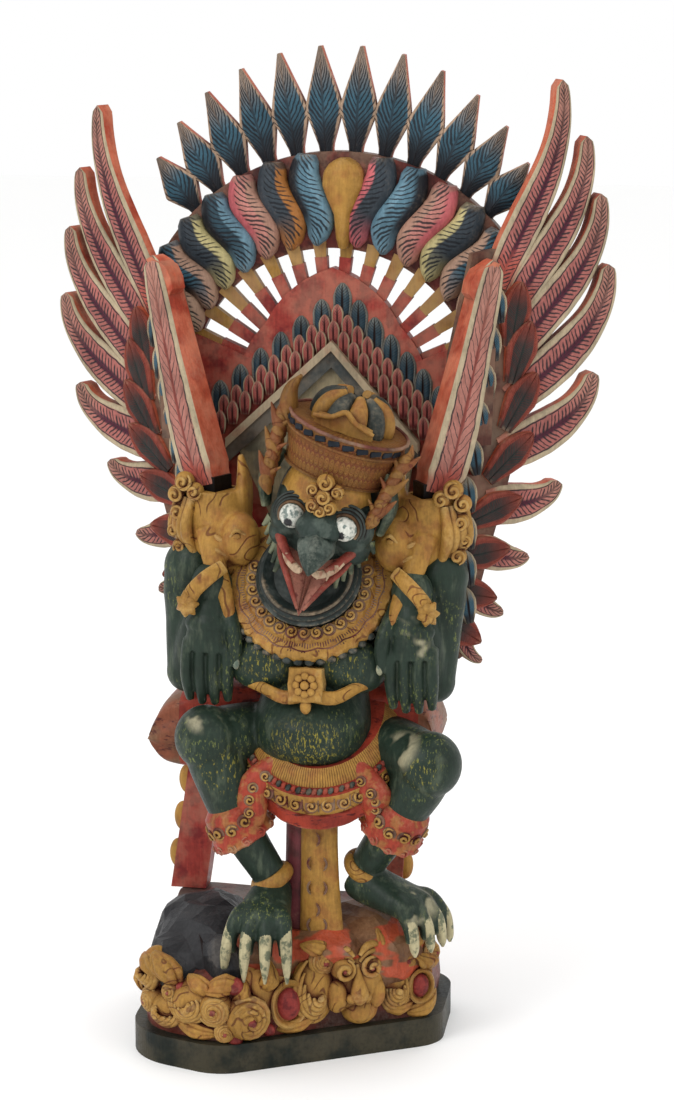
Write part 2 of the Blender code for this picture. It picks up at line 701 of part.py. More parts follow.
def carve_gable(fan, back):
    """The red field behind the head, its two rows of scales and the grey gable."""
    last_gap = SPOKE_STEP * (SPOKES - 1) / 2
    arch = [last_gap * (k / FIELD_STEPS * 2 - 1) for k in range(FIELD_STEPS + 1)]
    field = [(-96, 470), (-108, 520)]
    field += [around(RIM_CENTRE, RIM_RADIUS + 4, degrees) for degrees in (-last_gap - 11, -last_gap)]
    field += [around(RIM_CENTRE, field_radius(degrees), degrees) for degrees in arch]
    field += [around(RIM_CENTRE, RIM_RADIUS + 4, degrees) for degrees in (last_gap, last_gap + 11)]
    field += [(92, 520), (90, 470)]
    fan.add(slab(field, 3, back, fan_place))
    for top_x, top_z, lift in ((4, 658, 6), (-2, 638, 10)):
        for k in range(1 - SCALES_A_ROW_SIDE, SCALES_A_ROW_SIDE):
            x = top_x + k * (18.5 if k < 0 else 14.5)
            tip = Vector((x, top_z + 12 - 15.5 * abs(k)))
            widths = ((-1, 8), (-0.44, 10), (0, 2))
            fan.add(straight_leaf(tip, Vector((0, 1)), 36, widths, lift - 2, lift + 2, lift - 10, fan_place))
    for side_x in (-100, 74):
        beam = [GABLE_TOP, (side_x, 538), (side_x, 514), (GABLE_TOP[0], GABLE_TOP[1] - 24)]
        fan.add(slab(beam, 18, -2, fan_place))
    fan.add(slab([(-4, 604), (-92, 526), (-60, 460), (60, 460), (70, 526)], 10, -2, fan_place))


def carve_board(fan):
    """The board that carries the fan, and its two posts, with a row of scallops up the outside of each."""
    depth = POST_DEPTH / UNIT
    foot = POST_FOOT + SEAT_GAP / UNIT
    half = POST_WIDTH / UNIT / 2
    board = [(-100, 540), (-88, 420), (-98, 320), (-128, 250), (-80, 262), (-48, 276)]
    board += [(0, 268), (40, 246), (64, 320), (74, 420), (82, 540)]
    fan.add(slab(board, 0, -depth, fan_place))
    for low, high in POSTS:
        outline = [(low - half, foot), (high - half, 262), (high + half, 268), (low + half, foot)]
        fan.add(slab(outline, -1, -1 - depth, fan_place))
        outer = half if low > 0 else -half
        for k in range(4):
            x = low + (high - low) * (k + 1) / 5 + outer
            fan.add(ball((x, FAN_Y + 12, foot + 30 + 36 * k), (8, 7, 14), detail=1))


def main():
    clear_scene()
    carve_figure(material("green_and_gold_paint", (0.10, 0.14, 0.09), 0.55))
    for name in WINGS:
        carve_wing(name, material(f"{name}_paint", (0.42, 0.14, 0.12), 0.6))
    carve_fan(material("tail_fan_paint", (0.30, 0.12, 0.10), 0.6))


if __name__ == "__main__":
    main()
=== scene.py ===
"""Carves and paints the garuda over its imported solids: feathers, fan, skin, ornaments and rock."""

from math import cos, exp, pi, radians, sin, tan
from types import SimpleNamespace

import bmesh
import bpy
import numpy as np
from bpy.props import FloatProperty, FloatVectorProperty, IntProperty, PointerProperty
from mathutils import Euler, Matrix, Vector


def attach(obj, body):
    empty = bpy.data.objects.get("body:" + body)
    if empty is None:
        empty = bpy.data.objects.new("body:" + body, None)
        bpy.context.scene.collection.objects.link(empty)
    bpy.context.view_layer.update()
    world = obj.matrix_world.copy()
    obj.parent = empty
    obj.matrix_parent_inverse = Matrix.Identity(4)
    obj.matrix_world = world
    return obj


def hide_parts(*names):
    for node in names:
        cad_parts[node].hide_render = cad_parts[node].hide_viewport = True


bl_info = {
    "name": "Painted garuda carving",
    "version": (1, 0, 0),
    "blender": (4, 5, 0),
    "location": "View3D > Sidebar > Garuda",
    "description": "Carves and paints a wooden garuda with plugged-in wings and a tail fan",
    "category": "Object",
}

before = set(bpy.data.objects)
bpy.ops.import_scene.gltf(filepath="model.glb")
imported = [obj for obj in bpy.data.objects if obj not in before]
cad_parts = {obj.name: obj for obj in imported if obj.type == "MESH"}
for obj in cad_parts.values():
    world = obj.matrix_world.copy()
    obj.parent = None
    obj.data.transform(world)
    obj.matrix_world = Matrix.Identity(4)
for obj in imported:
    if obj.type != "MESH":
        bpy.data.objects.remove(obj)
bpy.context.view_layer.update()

# The solid that a piece dresses, with its paint's slot
FIGURE = (["figure"], "figure_paint")
FAN = (["tail_fan"], "tail_fan_paint")
# The carver's unit, a millimetre, and the layout that the solids share
MM = 0.001
HAND_FACET = 0.0012
HEAD_FACET = 0.0015
SOCKET = (94, -12, 500)
HEAD = Vector((11, -48, 487))
HEAD_TURN = Euler((radians(4), radians(12), radians(-3)))
WINGS = {"wing_left": (-1, 27, 1.8, 0.36, 13), "wing_right": (1, 31, 0, 0, 0)}
SQUAT_EASED = 0.72
# Half the width and depth of a wing's tenon, and how far it goes down
TENON = (9, 12, 33.5)
POCKET_PLAY = (2.5, 2.5, 0.5)
# The face of the long feathers from the tenon's middle, and the wing's thickness behind it
WING_FRONT = -10
WING_THICK = 13
WING_FEATHERS = (
    ((74, 190), (126, 353), 66, 98, 15.5),
    ((86, 162), (150, 304), 60, 98, 17),
    ((93, 128), (164, 254), 52, 98, 18),
    ((95, 84), (173, 192), 38, 94, 19.5),
    ((88, 34), (159, 98), 22, 88, 19.5),
    ((74, -16), (127, 3), 0, 74, 18),
    ((62, -56), (98, -60), -14, 50, 15),
    ((50, -94), (76, -110), -34, 22, 12),
    ((38, -126), (56, -153), -56, 2, 9),
)
FEATHER_WIDTHS = (0.8, 0.98, 1.0, 0.9, 0.72, 0.56, 0.34)
LEAD_STATIONS = (
    (4, 3, 0.8, 0.9),
    (20, 13, 1.3, 1.0),
    (60, 25, 1.25, 1.0),
    (120, 39, 1.0, 0.95),
    (172, 51, 0.85, 0.85),
    (194, 56, 0.7, 0.75),
    (202, 58, 0.4, 0.5),
)
PLANK_OUTLINE = (
    (26, 120), (46, 206), (74, 210), (94, 160), (100, 96), (92, 44), (78, -10),
    (66, -50), (54, -94), (46, -146), (36, -152), (32, 2), (14, 8),
)
FAN_Y = 77
ARCH_CENTRE = np.array((0.0, 601.0))
ARCH_RADIUS = 186
RIM_CENTRE = np.array((-5.0, 572.0))
RIM_RADIUS = 130
RAYS = 12
RAY_STEP = 8.1
SPOKES = 14
SPOKE_STEP = 10.4
LAST_GAP = 67.6
GABLE_TOP = (-4, 622)
BASE_CORNERS = ((-160, -92, 60), (-72, -124, 44), (109, -12, 34), (104, 112, 44), (-168, 116, 34))


class GarudaSizes(bpy.types.PropertyGroup):
    """Lengths of the carving and of the painter's brush work"""

    skin_step: FloatProperty(
        name="Skin facet", description="Size of the facets on the green skin",
        default=0.0021, min=0.0015, max=0.006, unit="LENGTH",
    )
    gold_step: FloatProperty(
        name="Gold facet", description="Size of the facets on the carved beasts, leaves and rock",
        default=0.0019, min=0.0012, max=0.006, unit="LENGTH",
    )
    stroke_spacing: FloatProperty(
        name="Stroke spacing", description="Distance between the black barbs on a long feather",
        default=0.0042, min=0.001, max=0.02, unit="LENGTH",
    )
    tip_curl: FloatProperty(
        name="Tip curl", description="How far the tip of a wing feather bends forwards",
        default=0.004, min=0.0, max=0.01, unit="LENGTH",
    )
    chisel_depth: FloatProperty(
        name="Chisel depth", description="Depth of the chisel and brush marks in the paint",
        default=0.0006, min=0.0, max=0.003, unit="LENGTH",
    )
    collar_curls: IntProperty(
        name="Collar curls", description="Curls along the first row of the collar", default=17, min=5,
        max=40,
    )


class GarudaColours(bpy.types.PropertyGroup):
    """The painter's pots of colour"""

    skin: FloatVectorProperty(
        name="Skin", description="Dark green of the body", subtype="COLOR", size=3,
        default=(0.015, 0.027, 0.018),
    )
    gold: FloatVectorProperty(
        name="Gold", description="Ochre gold of the ornaments", subtype="COLOR", size=3,
        default=(0.33, 0.175, 0.038),
    )
    red: FloatVectorProperty(
        name="Red", description="Orange red of edges and cloth", subtype="COLOR", size=3,
        default=(0.33, 0.045, 0.022),
    )
    pink: FloatVectorProperty(
        name="Pink", description="Pink of the long feathers", subtype="COLOR", size=3,
        default=(0.31, 0.105, 0.090),
    )
    cream: FloatVectorProperty(
        name="Cream", description="Cream of feather edges and claws", subtype="COLOR", size=3,
        default=(0.36, 0.29, 0.19),
    )
    blue: FloatVectorProperty(
        name="Blue", description="Blue of the crest and the fan", subtype="COLOR", size=3,
        default=(0.035, 0.090, 0.125),
    )
    black: FloatVectorProperty(
        name="Black", description="Blue black of strokes and dark feathers", subtype="COLOR", size=3,
        default=(0.012, 0.014, 0.018),
    )


def sizes():
    return bpy.context.scene.garuda_sizes


def pots():
    """The pots of colour, each as a plain tuple."""
    colours = bpy.context.scene.garuda_colours
    return SimpleNamespace(**{name: tuple(getattr(colours, name)) for name in GarudaColours.__annotations__})


def blend_colours(a, b, share):
    return tuple(x + (y - x) * share for x, y in zip(a, b))


class Nodes:
    """Places and joins the nodes of one material or node group."""

    def __init__(self, tree):
        self.tree = tree

    def add(self, kind, inputs=(), **settings):
        node = self.tree.nodes.new(kind)
        for key, value in settings.items():
            setattr(node, key, value)
        for key, value in dict(inputs).items():
            self.feed(node.inputs[key], value)
        return node

    def feed(self, socket, value):
        if isinstance(value, bpy.types.NodeSocket):
            self.tree.links.new(value, socket)
        elif isinstance(value, tuple) and len(value) == 3 and socket.type == "RGBA":
            socket.default_value = (*value, 1.0)
        else:
            socket.default_value = value

    def math(self, operation, *values):
        return self.add("ShaderNodeMath", enumerate(values), operation=operation).outputs[0]

    def plus(self, a, b):
        return self.math("ADD", a, b)

    def minus(self, a, b):
        return self.math("SUBTRACT", a, b)

    def times(self, a, b):
        return self.math("MULTIPLY", a, b)

    def off_middle(self, value):
        """How far a value is from the middle of its whole step, which draws even stripes."""
        return self.math("ABSOLUTE", self.minus(self.math("FRACT", value), 0.5))

    def swing(self, value, reach):
        """Turns a value that lies round a half into one that swings about nothing."""
        return self.times(self.minus(value, 0.5), reach)

    def mix(self, share, a, b, how="MIX"):
        node = self.add("ShaderNodeMix", {0: share, 6: a, 7: b}, data_type="RGBA", blend_type=how)
        return node.outputs[2]

    def step(self, value, low, high, a=0.0, b=1.0):
        """Runs smoothly from a, where the value is low, to b, where it is high."""
        parts = {0: value, 1: low, 2: high, 3: a, 4: b}
        return self.add("ShaderNodeMapRange", parts, interpolation_type="SMOOTHSTEP").outputs[0]

    def noise(self, vector, scale, detail=2.0, rough=0.5):
        parts = {"Vector": vector, "Scale": scale, "Detail": detail, "Roughness": rough}
        return self.add("ShaderNodeTexNoise", parts).outputs["Fac"]

    def stretch(self, vector, scale):
        return self.add("ShaderNodeMapping", {"Vector": vector, "Scale": scale}).outputs[0]

    def split(self, vector):
        return self.add("ShaderNodeSeparateXYZ", {0: vector}).outputs

    def uv(self, name):
        return self.add("ShaderNodeUVMap", uv_map=name).outputs[0]

    def here(self):
        return self.add("ShaderNodeTexCoord").outputs["Object"]


def node_group(name, inputs, outputs, fill):
    """A node group with named sockets, made once and shared by the materials that use it."""
    if name in bpy.data.node_groups:
        return bpy.data.node_groups[name]
    tree = bpy.data.node_groups.new(name, "ShaderNodeTree")
    kinds = {"value": "NodeSocketFloat", "colour": "NodeSocketColor", "vector": "NodeSocketVector"}
    for label, kind, default in inputs:
        socket = tree.interface.new_socket(label, in_out="INPUT", socket_type=kinds[kind])
        if default is not None:
            socket.default_value = (*default, 1.0) if kind == "colour" else default
    for label, kind in outputs:
        tree.interface.new_socket(label, in_out="OUTPUT", socket_type=kinds[kind])
    nodes = Nodes(tree)
    given = nodes.add("NodeGroupInput").outputs
    results = fill(nodes, given)
    nodes.add("NodeGroupOutput", results)
    return tree


def old_paint_and_shade(nodes, given):
    """Uneven paint on carved wood: mottled, with painted shade that darkens the cuts, rubbed away on the
    corners.
    """
    place = nodes.here()
    cloudy = nodes.noise(place, 28.0, 4.0, 0.6)
    fine = nodes.noise(place, 320.0, 3.0, 0.65)
    grain = nodes.noise(nodes.stretch(place, (420.0, 420.0, 45.0)), 1.0, 3.0, 0.6)
    lit = nodes.plus(nodes.times(cloudy, 0.7), nodes.times(grain, 0.45))
    lit = nodes.plus(lit, nodes.times(fine, 0.35))
    lit = nodes.step(lit, 0.45, 1.05, 0.62, 1.30)
    tone = nodes.add("ShaderNodeCombineXYZ", {0: lit, 1: lit, 2: lit}).outputs[0]
    colour = nodes.mix(1.0, given["Colour"], tone, "MULTIPLY")
    # Painted shade: ambient occlusion darkens the cuts and hollows towards the painted shade colour
    occlusion = nodes.add("ShaderNodeAmbientOcclusion", {"Distance": 0.014}, samples=4, only_local=True)
    cut = nodes.minus(1.0, occlusion.outputs["AO"])
    cut = nodes.step(nodes.plus(cut, nodes.times(fine, 0.15)), 0.18, 0.75)
    colour = nodes.mix(nodes.times(cut, given["Painted Shade"]), colour, given["Painted Shade Colour"])
    corner = nodes.add("ShaderNodeNewGeometry").outputs["Pointiness"]
    rubbed = nodes.step(nodes.plus(corner, nodes.swing(fine, 0.10)),
                        0.53, 0.60)
    rubbed = nodes.times(rubbed, nodes.step(cloudy, 0.35, 0.6))
    colour = nodes.mix(nodes.times(rubbed, given["Wear"]), colour, given["Worn Colour"])
    rough = nodes.step(nodes.plus(fine, nodes.times(cut, 0.4)), 0.3, 0.9, 0.38, 0.68)
    height = nodes.plus(nodes.times(grain, 0.6), nodes.times(fine, 0.4))
    return {"Colour": colour, "Roughness": rough, "Height": height}


def old_paint_and_shade_group():
    inputs = (
        ("Colour", "colour", (0.5, 0.5, 0.5)),
        # How strongly the cuts take painted shade, and its colour
        ("Painted Shade", "value", 0.8),
        ("Painted Shade Colour", "colour", (0.03, 0.012, 0.008)),
        ("Wear", "value", 0.5),
        ("Worn Colour", "colour", (0.34, 0.25, 0.16)),
    )
    return node_group("Old paint and shade", inputs,
                      (("Colour", "colour"), ("Roughness", "value"), ("Height", "value")), old_paint_and_shade)


def feather_strokes(nodes, given):
    """Where a painted feather has its vein, its barbs and the wavy line inside its edge."""
    across, along, _ = nodes.split(given["Share"])
    _, run, _ = nodes.split(given["Span"])
    signed = nodes.minus(nodes.times(across, 2.0), 1.0)
    off = nodes.minus(signed, given["Vein At"])
    widest = nodes.plus(1.0, nodes.math("ABSOLUTE", given["Vein At"]))
    away = nodes.math("DIVIDE", nodes.math("ABSOLUTE", off), widest)
    rough = nodes.noise(given["Span"], 140.0, 2.0)
    wide = nodes.noise(given["Span"], 34.0, 1.0)
    step = nodes.minus(run, nodes.times(away, given["Slant"]))
    step = nodes.math("DIVIDE", step, given["Spacing"])
    step = nodes.plus(step, nodes.times(rough, 0.8))
    step = nodes.plus(step, nodes.times(nodes.math("SIGN", off), 0.23))
    which = nodes.plus(nodes.math("FLOOR", step), nodes.times(nodes.math("SIGN", off), 37.3))
    chance = nodes.add("ShaderNodeTexWhiteNoise", {"W": which}, noise_dimensions="1D").outputs["Value"]
    gap = nodes.off_middle(step)
    thick = nodes.times(given["Thick"], nodes.plus(0.55, nodes.times(chance, 0.6)))
    ends = nodes.minus(given["To"], nodes.times(chance, 0.22))
    fades = nodes.step(away, nodes.minus(ends, 0.16), ends, 1.0, 0.0)
    starts = nodes.step(away, nodes.minus(given["From"], 0.05), nodes.plus(given["From"], 0.03))
    thick = nodes.times(thick, nodes.plus(0.35, nodes.times(fades, 0.65)))
    inked = nodes.step(gap, nodes.times(thick, 0.55), thick, 1.0, 0.0)
    strokes = nodes.times(inked, nodes.times(starts, fades))
    strokes = nodes.times(strokes, nodes.step(wide, 0.30, 0.40, 0.35, 1.0))
    wave = nodes.swing(nodes.noise(given["Span"], 62.0, 2.0), given["Wave"])
    line = nodes.math("ABSOLUTE", nodes.minus(away, nodes.plus(given["Line At"], wave)))
    line = nodes.step(line, nodes.times(given["Line Width"], 0.4), given["Line Width"], 1.0, 0.0)
    line = nodes.times(line, nodes.step(rough, 0.28, 0.40, 0.3, 1.0))
    return {"Away": away, "Along": along, "Strokes": strokes, "Line": line, "Blotch": wide}


def feather_strokes_group():
    inputs = (
        ("Share", "vector", None),
        ("Span", "vector", None),
        ("Vein At", "value", 0.0),
        ("Spacing", "value", 0.004),
        ("Slant", "value", 0.010),
        ("Thick", "value", 0.22),
        ("From", "value", 0.08),
        ("To", "value", 0.75),
        ("Line At", "value", 0.72),
        ("Line Width", "value", 0.035),
        ("Wave", "value", 0.15),
    )
    outputs = (("Away", "value"), ("Along", "value"), ("Strokes", "value"), ("Line", "value"),
               ("Blotch", "value"))
    return node_group("Feather strokes", inputs, outputs, feather_strokes)


def curl_rows(nodes, given):
    """Rows of small engraved curls: nested crescents in cells, with a dot in each."""
    u, v, _ = nodes.split(given["Cells"])
    row = nodes.math("FLOOR", v)
    u = nodes.plus(u, nodes.times(row, 0.5))
    x = nodes.minus(nodes.math("FRACT", u), 0.5)
    y = nodes.minus(nodes.math("FRACT", v), 0.45)
    far = nodes.math("SQRT", nodes.plus(nodes.times(x, x), nodes.times(y, y)))
    turn = nodes.math("ARCTAN2", y, x)
    spiral = nodes.plus(nodes.times(far, 4.6), nodes.math("DIVIDE", turn, 6.2832))
    ridge = nodes.off_middle(spiral)
    inside = nodes.step(far, 0.42, 0.5, 1.0, 0.0)
    lines = nodes.times(nodes.step(ridge, 0.10, 0.20, 1.0, 0.0), inside)
    between = nodes.step(far, 0.44, 0.56)
    dark = nodes.math("MAXIMUM", nodes.times(lines, 0.75), nodes.times(between, 0.9))
    return {"Dark": dark, "Height": nodes.minus(1.0, dark)}


def curl_rows_group():
    return node_group("Curl rows", (("Cells", "vector", None),), (("Dark", "value"), ("Height", "value")),
                      curl_rows)


DULL_SHINE = 0.16


def new_material(name):
    look = bpy.data.materials.new(name)
    look.use_nodes = True
    nodes = Nodes(look.node_tree)
    return look, nodes, look.node_tree.nodes["Principled BSDF"]


def finish_paint(nodes, shader, colour, recess=0.8, recess_colour=None, wear=0.5, worn=None, carved=None,
                 depth=1.0):
    """Ages a colour with the shared old paint, darkens its cuts with painted shade, and feeds the shader."""
    # The painted shade strength and colour go to the ambient occlusion darkening of the cuts
    parts = {"Colour": colour, "Painted Shade": recess, "Wear": wear}
    if recess_colour:
        parts["Painted Shade Colour"] = recess_colour
    if worn:
        parts["Worn Colour"] = worn
    aged = nodes.add("ShaderNodeGroup", (), node_tree=old_paint_and_shade_group())
    for key, value in parts.items():
        nodes.feed(aged.inputs[key], value)
    nodes.feed(shader.inputs["Base Color"], aged.outputs["Colour"])
    nodes.feed(shader.inputs["Roughness"], aged.outputs["Roughness"])
    shader.inputs["Specular IOR Level"].default_value = DULL_SHINE
    height = aged.outputs["Height"]
    if carved is not None:
        height = nodes.plus(nodes.times(height, 0.5), nodes.times(carved, 1.2))
    bump = nodes.add("ShaderNodeBump",
                     {"Height": height, "Strength": 0.7, "Distance": sizes().chisel_depth * depth})
    nodes.feed(shader.inputs["Normal"], bump.outputs[0])


def plain_paint(name, colour, second=None, patch=40.0, **aging):
    """One colour of old paint, broken up by patches of a second."""
    look, nodes, shader = new_material(name)
    if second:
        share = nodes.step(nodes.noise(nodes.here(), patch, 3.0, 0.6), 0.48, 0.62)
        colour = nodes.mix(share, colour, second)
    finish_paint(nodes, shader, colour, **aging)
    return look


def feather_paint(name, vein, body, trim, root, tip, trim_at=0.74, vein_at=0.0, vein_width=0.07, root_to=0.3,
                  spacing=1.0, ink=None, **strokes):
    """A painted feather: dark vein, coloured vane with black barbs, and a pale edge inside a wavy line."""
    look, nodes, shader = new_material(name)
    marks = nodes.add("ShaderNodeGroup", (), node_tree=feather_strokes_group())
    given = {
        "Share": nodes.uv("share"),
        "Span": nodes.uv("span"),
        "Vein At": vein_at,
        "Spacing": sizes().stroke_spacing * spacing,
        **{key.replace("_", " ").title(): value for key, value in strokes.items()},
    }
    for key, value in given.items():
        nodes.feed(marks.inputs[key], value)
    away, along = marks.outputs["Away"], marks.outputs["Along"]
    blotch = marks.outputs["Blotch"]
    uneven = nodes.swing(blotch, 0.3)
    colour = nodes.mix(nodes.step(nodes.plus(away, uneven), vein_width, vein_width * 2.6), vein, body)
    colour = nodes.mix(nodes.step(along, 0.55, 1.0, 0.0, 0.8), colour, tip)
    near = nodes.plus(along, uneven)
    colour = nodes.mix(nodes.step(near, root_to * 0.35, root_to, 1.0, 0.0), colour, root)
    edge = nodes.step(nodes.plus(away, nodes.times(uneven, 0.25)), trim_at - 0.05, trim_at + 0.03)
    edge = nodes.times(edge, nodes.step(near, root_to * 0.15, root_to * 0.7, 0.25, 1.0))
    colour = nodes.mix(edge, colour, trim)
    inked = nodes.math("MAXIMUM", marks.outputs["Strokes"], marks.outputs["Line"])
    colour = nodes.mix(nodes.times(inked, 0.9), colour, ink or pots().black)
    carved = nodes.minus(1.0, nodes.times(inked, 0.6))
    finish_paint(nodes, shader, colour, wear=0.35, carved=carved)
    return look


class Carving:
    """Points, faces and paint places of one piece, laid out in millimetres until it becomes an object."""

    def __init__(self):
        self.points, self.faces, self.share, self.span, self.looks = [], [], [], [], []
        self.count = 0

    def grid(self, rows, share=None, span=None, looks=0):
        """A sheet of four-sided faces through rows of points, in one look or in one for each column."""
        rows = np.asarray(rows, float)
        n, m = rows.shape[:2]
        if share is None:
            u, v = np.meshgrid(np.linspace(0, 1, m), np.linspace(0, 1, n))
            share = np.stack([u, v], -1)
        if span is None:
            span = np.asarray(share) * 50.0
        index = np.arange(n * m).reshape(n, m)
        quads = np.stack([index[:-1, :-1], index[:-1, 1:], index[1:, 1:], index[1:, :-1]], -1).reshape(-1, 4)
        self.points.append(rows.reshape(-1, 3))
        self.faces.append(quads + self.count)
        self.share.append(np.asarray(share, float).reshape(-1, 2)[quads].reshape(-1, 2))
        self.span.append(np.asarray(span, float).reshape(-1, 2)[quads].reshape(-1, 2) * MM)
        across = np.broadcast_to(np.asarray(looks), (m - 1,)) if np.ndim(looks) else np.full(m - 1, looks)
        self.looks.append(np.tile(across, n - 1))
        self.count += n * m

    def tube(self, path, radii, sides=16, across=(1, 0, 0), steps=4, look=0):
        """A limb, cord or moulding of oval section through a smooth path, closed at both ends."""
        path = smooth_path(path, steps)
        radii = smooth_path(np.broadcast_to(np.asarray(radii, float).reshape(-1, 2), (len(radii), 2)), steps)
        ahead = np.gradient(path, axis=0)
        ahead /= np.linalg.norm(ahead, axis=1)[:, None] + 1e-9
        side = np.asarray(across, float) - ahead * (ahead @ np.asarray(across, float))[:, None]
        side /= np.linalg.norm(side, axis=1)[:, None] + 1e-9
        through = np.cross(ahead, side)
        t = circle(sides + 1)
        rings = (
            path[:, None]
            + side[:, None] * radii[:, None, :1] * np.cos(t)[None, :, None]
            + through[:, None] * radii[:, None, 1:] * np.sin(t)[None, :, None]
        )
        self.rings(rings, look)

    def rings(self, rings, look=0, share=None, span=None):
        """A closed form through rings, whose ends are closed to their middles."""
        self.grid(closed(rings), share, span, look)

    def ball(self, centre, radii, turn=None, detail=16, look=0):
        """A rounded form, with its poles above and below."""
        t = np.linspace(0, np.pi, detail)
        f = np.linspace(0, 2 * np.pi, 2 * detail + 1)
        flat = np.stack([
            np.sin(t)[:, None] * np.cos(f)[None],
            np.sin(t)[:, None] * np.sin(f)[None],
            np.cos(t)[:, None] * np.ones_like(f)[None],
        ], -1)
        flat *= np.asarray(radii, float)
        if turn is not None:
            flat = flat @ np.array(turn.to_matrix()).T
        self.grid(flat + np.asarray(centre, float), None, None, look)

    def slab(self, outline, front, back, place, look=0, middle=None):
        """A flat outline cut through from front to back. All of it has to be in sight of its middle."""
        outline = [np.asarray(p, float) for p in outline]
        middle = sum(outline) / len(outline) if middle is None else middle
        loop = outline + outline[:1]
        rows = [[place(*middle, front)] * len(loop)]
        for depth in (front, back):
            rows.append([place(*p, depth) for p in loop])
        rows.append([place(*middle, back)] * len(loop))
        self.grid(rows, None, None, look)

    def build(self, name, looks, nodes, slot, sharp=40, facet=None, smooth=0):
        """Makes the object. A facet size fuses all its forms into one skin."""
        mesh = bpy.data.meshes.new(name)
        mesh.from_pydata(np.concatenate(self.points) * MM, [], np.concatenate(self.faces))
        for label, values in (("share", self.share), ("span", self.span)):
            mesh.uv_layers.new(name=label).data.foreach_set("uv", np.concatenate(values).ravel())
        mesh.polygons.foreach_set("material_index", np.concatenate(self.looks).astype(np.int32))
        bm = bmesh.new()
        bm.from_mesh(mesh)
        bmesh.ops.remove_doubles(bm, verts=bm.verts, dist=0.02 * MM)
        bmesh.ops.dissolve_degenerate(bm, edges=bm.edges, dist=0.005 * MM)
        bmesh.ops.recalc_face_normals(bm, faces=bm.faces)
        bm.to_mesh(mesh)
        bm.free()
        piece = bpy.data.objects.new(name, mesh)
        bpy.context.scene.collection.objects.link(piece)
        for look in looks if isinstance(looks, (list, tuple)) else [looks]:
            mesh.materials.append(look)
        if facet:
            fuse(piece, facet, smooth)
        piece.data.shade_smooth()
        if not facet:
            piece.data.set_sharp_from_angle(angle=radians(sharp))
        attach(piece, "root")
        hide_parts(*nodes)
        return piece


def closed(rings):
    """Rings of points with a ring shrunk to its middle at either end."""
    rings = np.asarray(rings, float)
    first, last = (np.repeat(end.mean(1, keepdims=True), rings.shape[1], 1)
                   for end in (rings[:1], rings[-1:]))
    return np.concatenate([first, rings, last])


def oval(centre, right, up, wide, tall, t):
    """Points at the angles t round an oval."""
    return centre + right * (wide * np.cos(t))[:, None] + up * (tall * np.sin(t))[:, None]


def fuse(piece, facet, smooth):
    """Joins a piece's overlapping forms into one skin and softens where they meet."""
    remesh = piece.modifiers.new("fuse", "REMESH")
    remesh.mode = "VOXEL"
    remesh.voxel_size = facet
    if smooth:
        soften = piece.modifiers.new("soften", "SMOOTH")
        soften.factor = 0.5
        soften.iterations = smooth
    seen = piece.evaluated_get(bpy.context.evaluated_depsgraph_get())
    skin = bpy.data.meshes.new_from_object(seen)
    piece.modifiers.clear()
    old = piece.data
    looks = list(old.materials)
    skin.name = old.name
    piece.data = skin
    skin.materials.clear()
    for look in looks:
        skin.materials.append(look)
    bpy.data.meshes.remove(old)


def smooth_path(points, steps):
    """Points along a smooth curve through the given ones."""
    p = np.asarray(points, float)
    if steps <= 1 or len(p) < 3:
        return p
    padded = np.concatenate([2 * p[:1] - p[1:2], p, 2 * p[-1:] - p[-2:-1]])
    found = []
    for a, b, c, d in zip(padded, padded[1:], padded[2:], padded[3:]):
        for t in np.arange(steps) / steps:
            bend, twist = 2 * a - 5 * b + 4 * c - d, 3 * b - a - 3 * c + d
            found.append(0.5 * (2 * b + (c - a) * t + bend * t**2 + twist * t**3))
    found.append(p[-1])
    return np.array(found)


def circle(count):
    """Angles all round, with the first again at the end."""
    return np.linspace(0, 2 * np.pi, count)


def direction(degrees):
    return np.array((cos(radians(degrees)), sin(radians(degrees))))


def ease(share, low, high):
    t = np.clip((np.asarray(share, float) - low) / (high - low), 0, 1)
    return t * t * (3 - 2 * t)


# A vane's section: share of the half width and height of its face
VANE = ((-1, -1.6), (-0.93, -0.3), (-0.8, 0.3), (-0.7, 0.0), (-0.62, 0.5), (-0.35, 1.0), (-0.08, 0.9),
        (0, 0.2), (0.08, 0.9), (0.35, 1.0), (0.62, 0.5), (0.7, 0.0), (0.8, 0.3), (0.93, -0.3), (1, -1.6))


def vane(carving, middles, acrosses, halves, base, thick, place, relief=1.0, face=0, edge=1, back=1,
         profile=VANE):
    """A carved feather: its profiled face, its flat sides and its plain back, as one closed form."""
    middles, acrosses = np.asarray(middles, float), np.asarray(acrosses, float)
    base = np.broadcast_to(np.asarray(base, float), (len(middles),))
    thick = np.broadcast_to(np.asarray(thick, float), (len(middles),))
    run = np.concatenate([[0], np.cumsum(np.linalg.norm(np.diff(middles, axis=0), axis=1))])
    rows, share, span = [], [], []
    for middle, across, half, level, deep, done in zip(middles, acrosses, halves, base, thick, run):
        ring, at, miles = [], [], []
        for u, w in profile:
            p = middle + across * u * half
            ring.append(place(p[0], p[1], level + w * relief * min(1, half / 6)))
            at.append((u / 2 + 0.5, done / run[-1]))
            miles.append((u * half, done))
        for u in (1, 0, -1, -1):
            p = middle + across * u * half
            last = len(ring) == len(profile) + 3
            depth = level + profile[0][1] * relief * min(1, half / 6) if last else level - deep
            ring.append(place(p[0], p[1], depth))
            at.append((u / 2 + 0.5, done / run[-1]))
            miles.append((u * half, done))
        rows.append(ring)
        share.append(at)
        span.append(miles)
    share = np.array(share[:1] + share + share[-1:])
    span = np.array(span[:1] + span + span[-1:])
    columns = [face] * (len(profile) - 1) + [edge, back, back, edge]
    carving.rings(rows, np.array(columns), share, span)


def bezier(a, b, c, d, t):
    s = 1 - t
    return a * s**3 + b * 3 * s * s * t + c * 3 * s * t * t + d * t**3


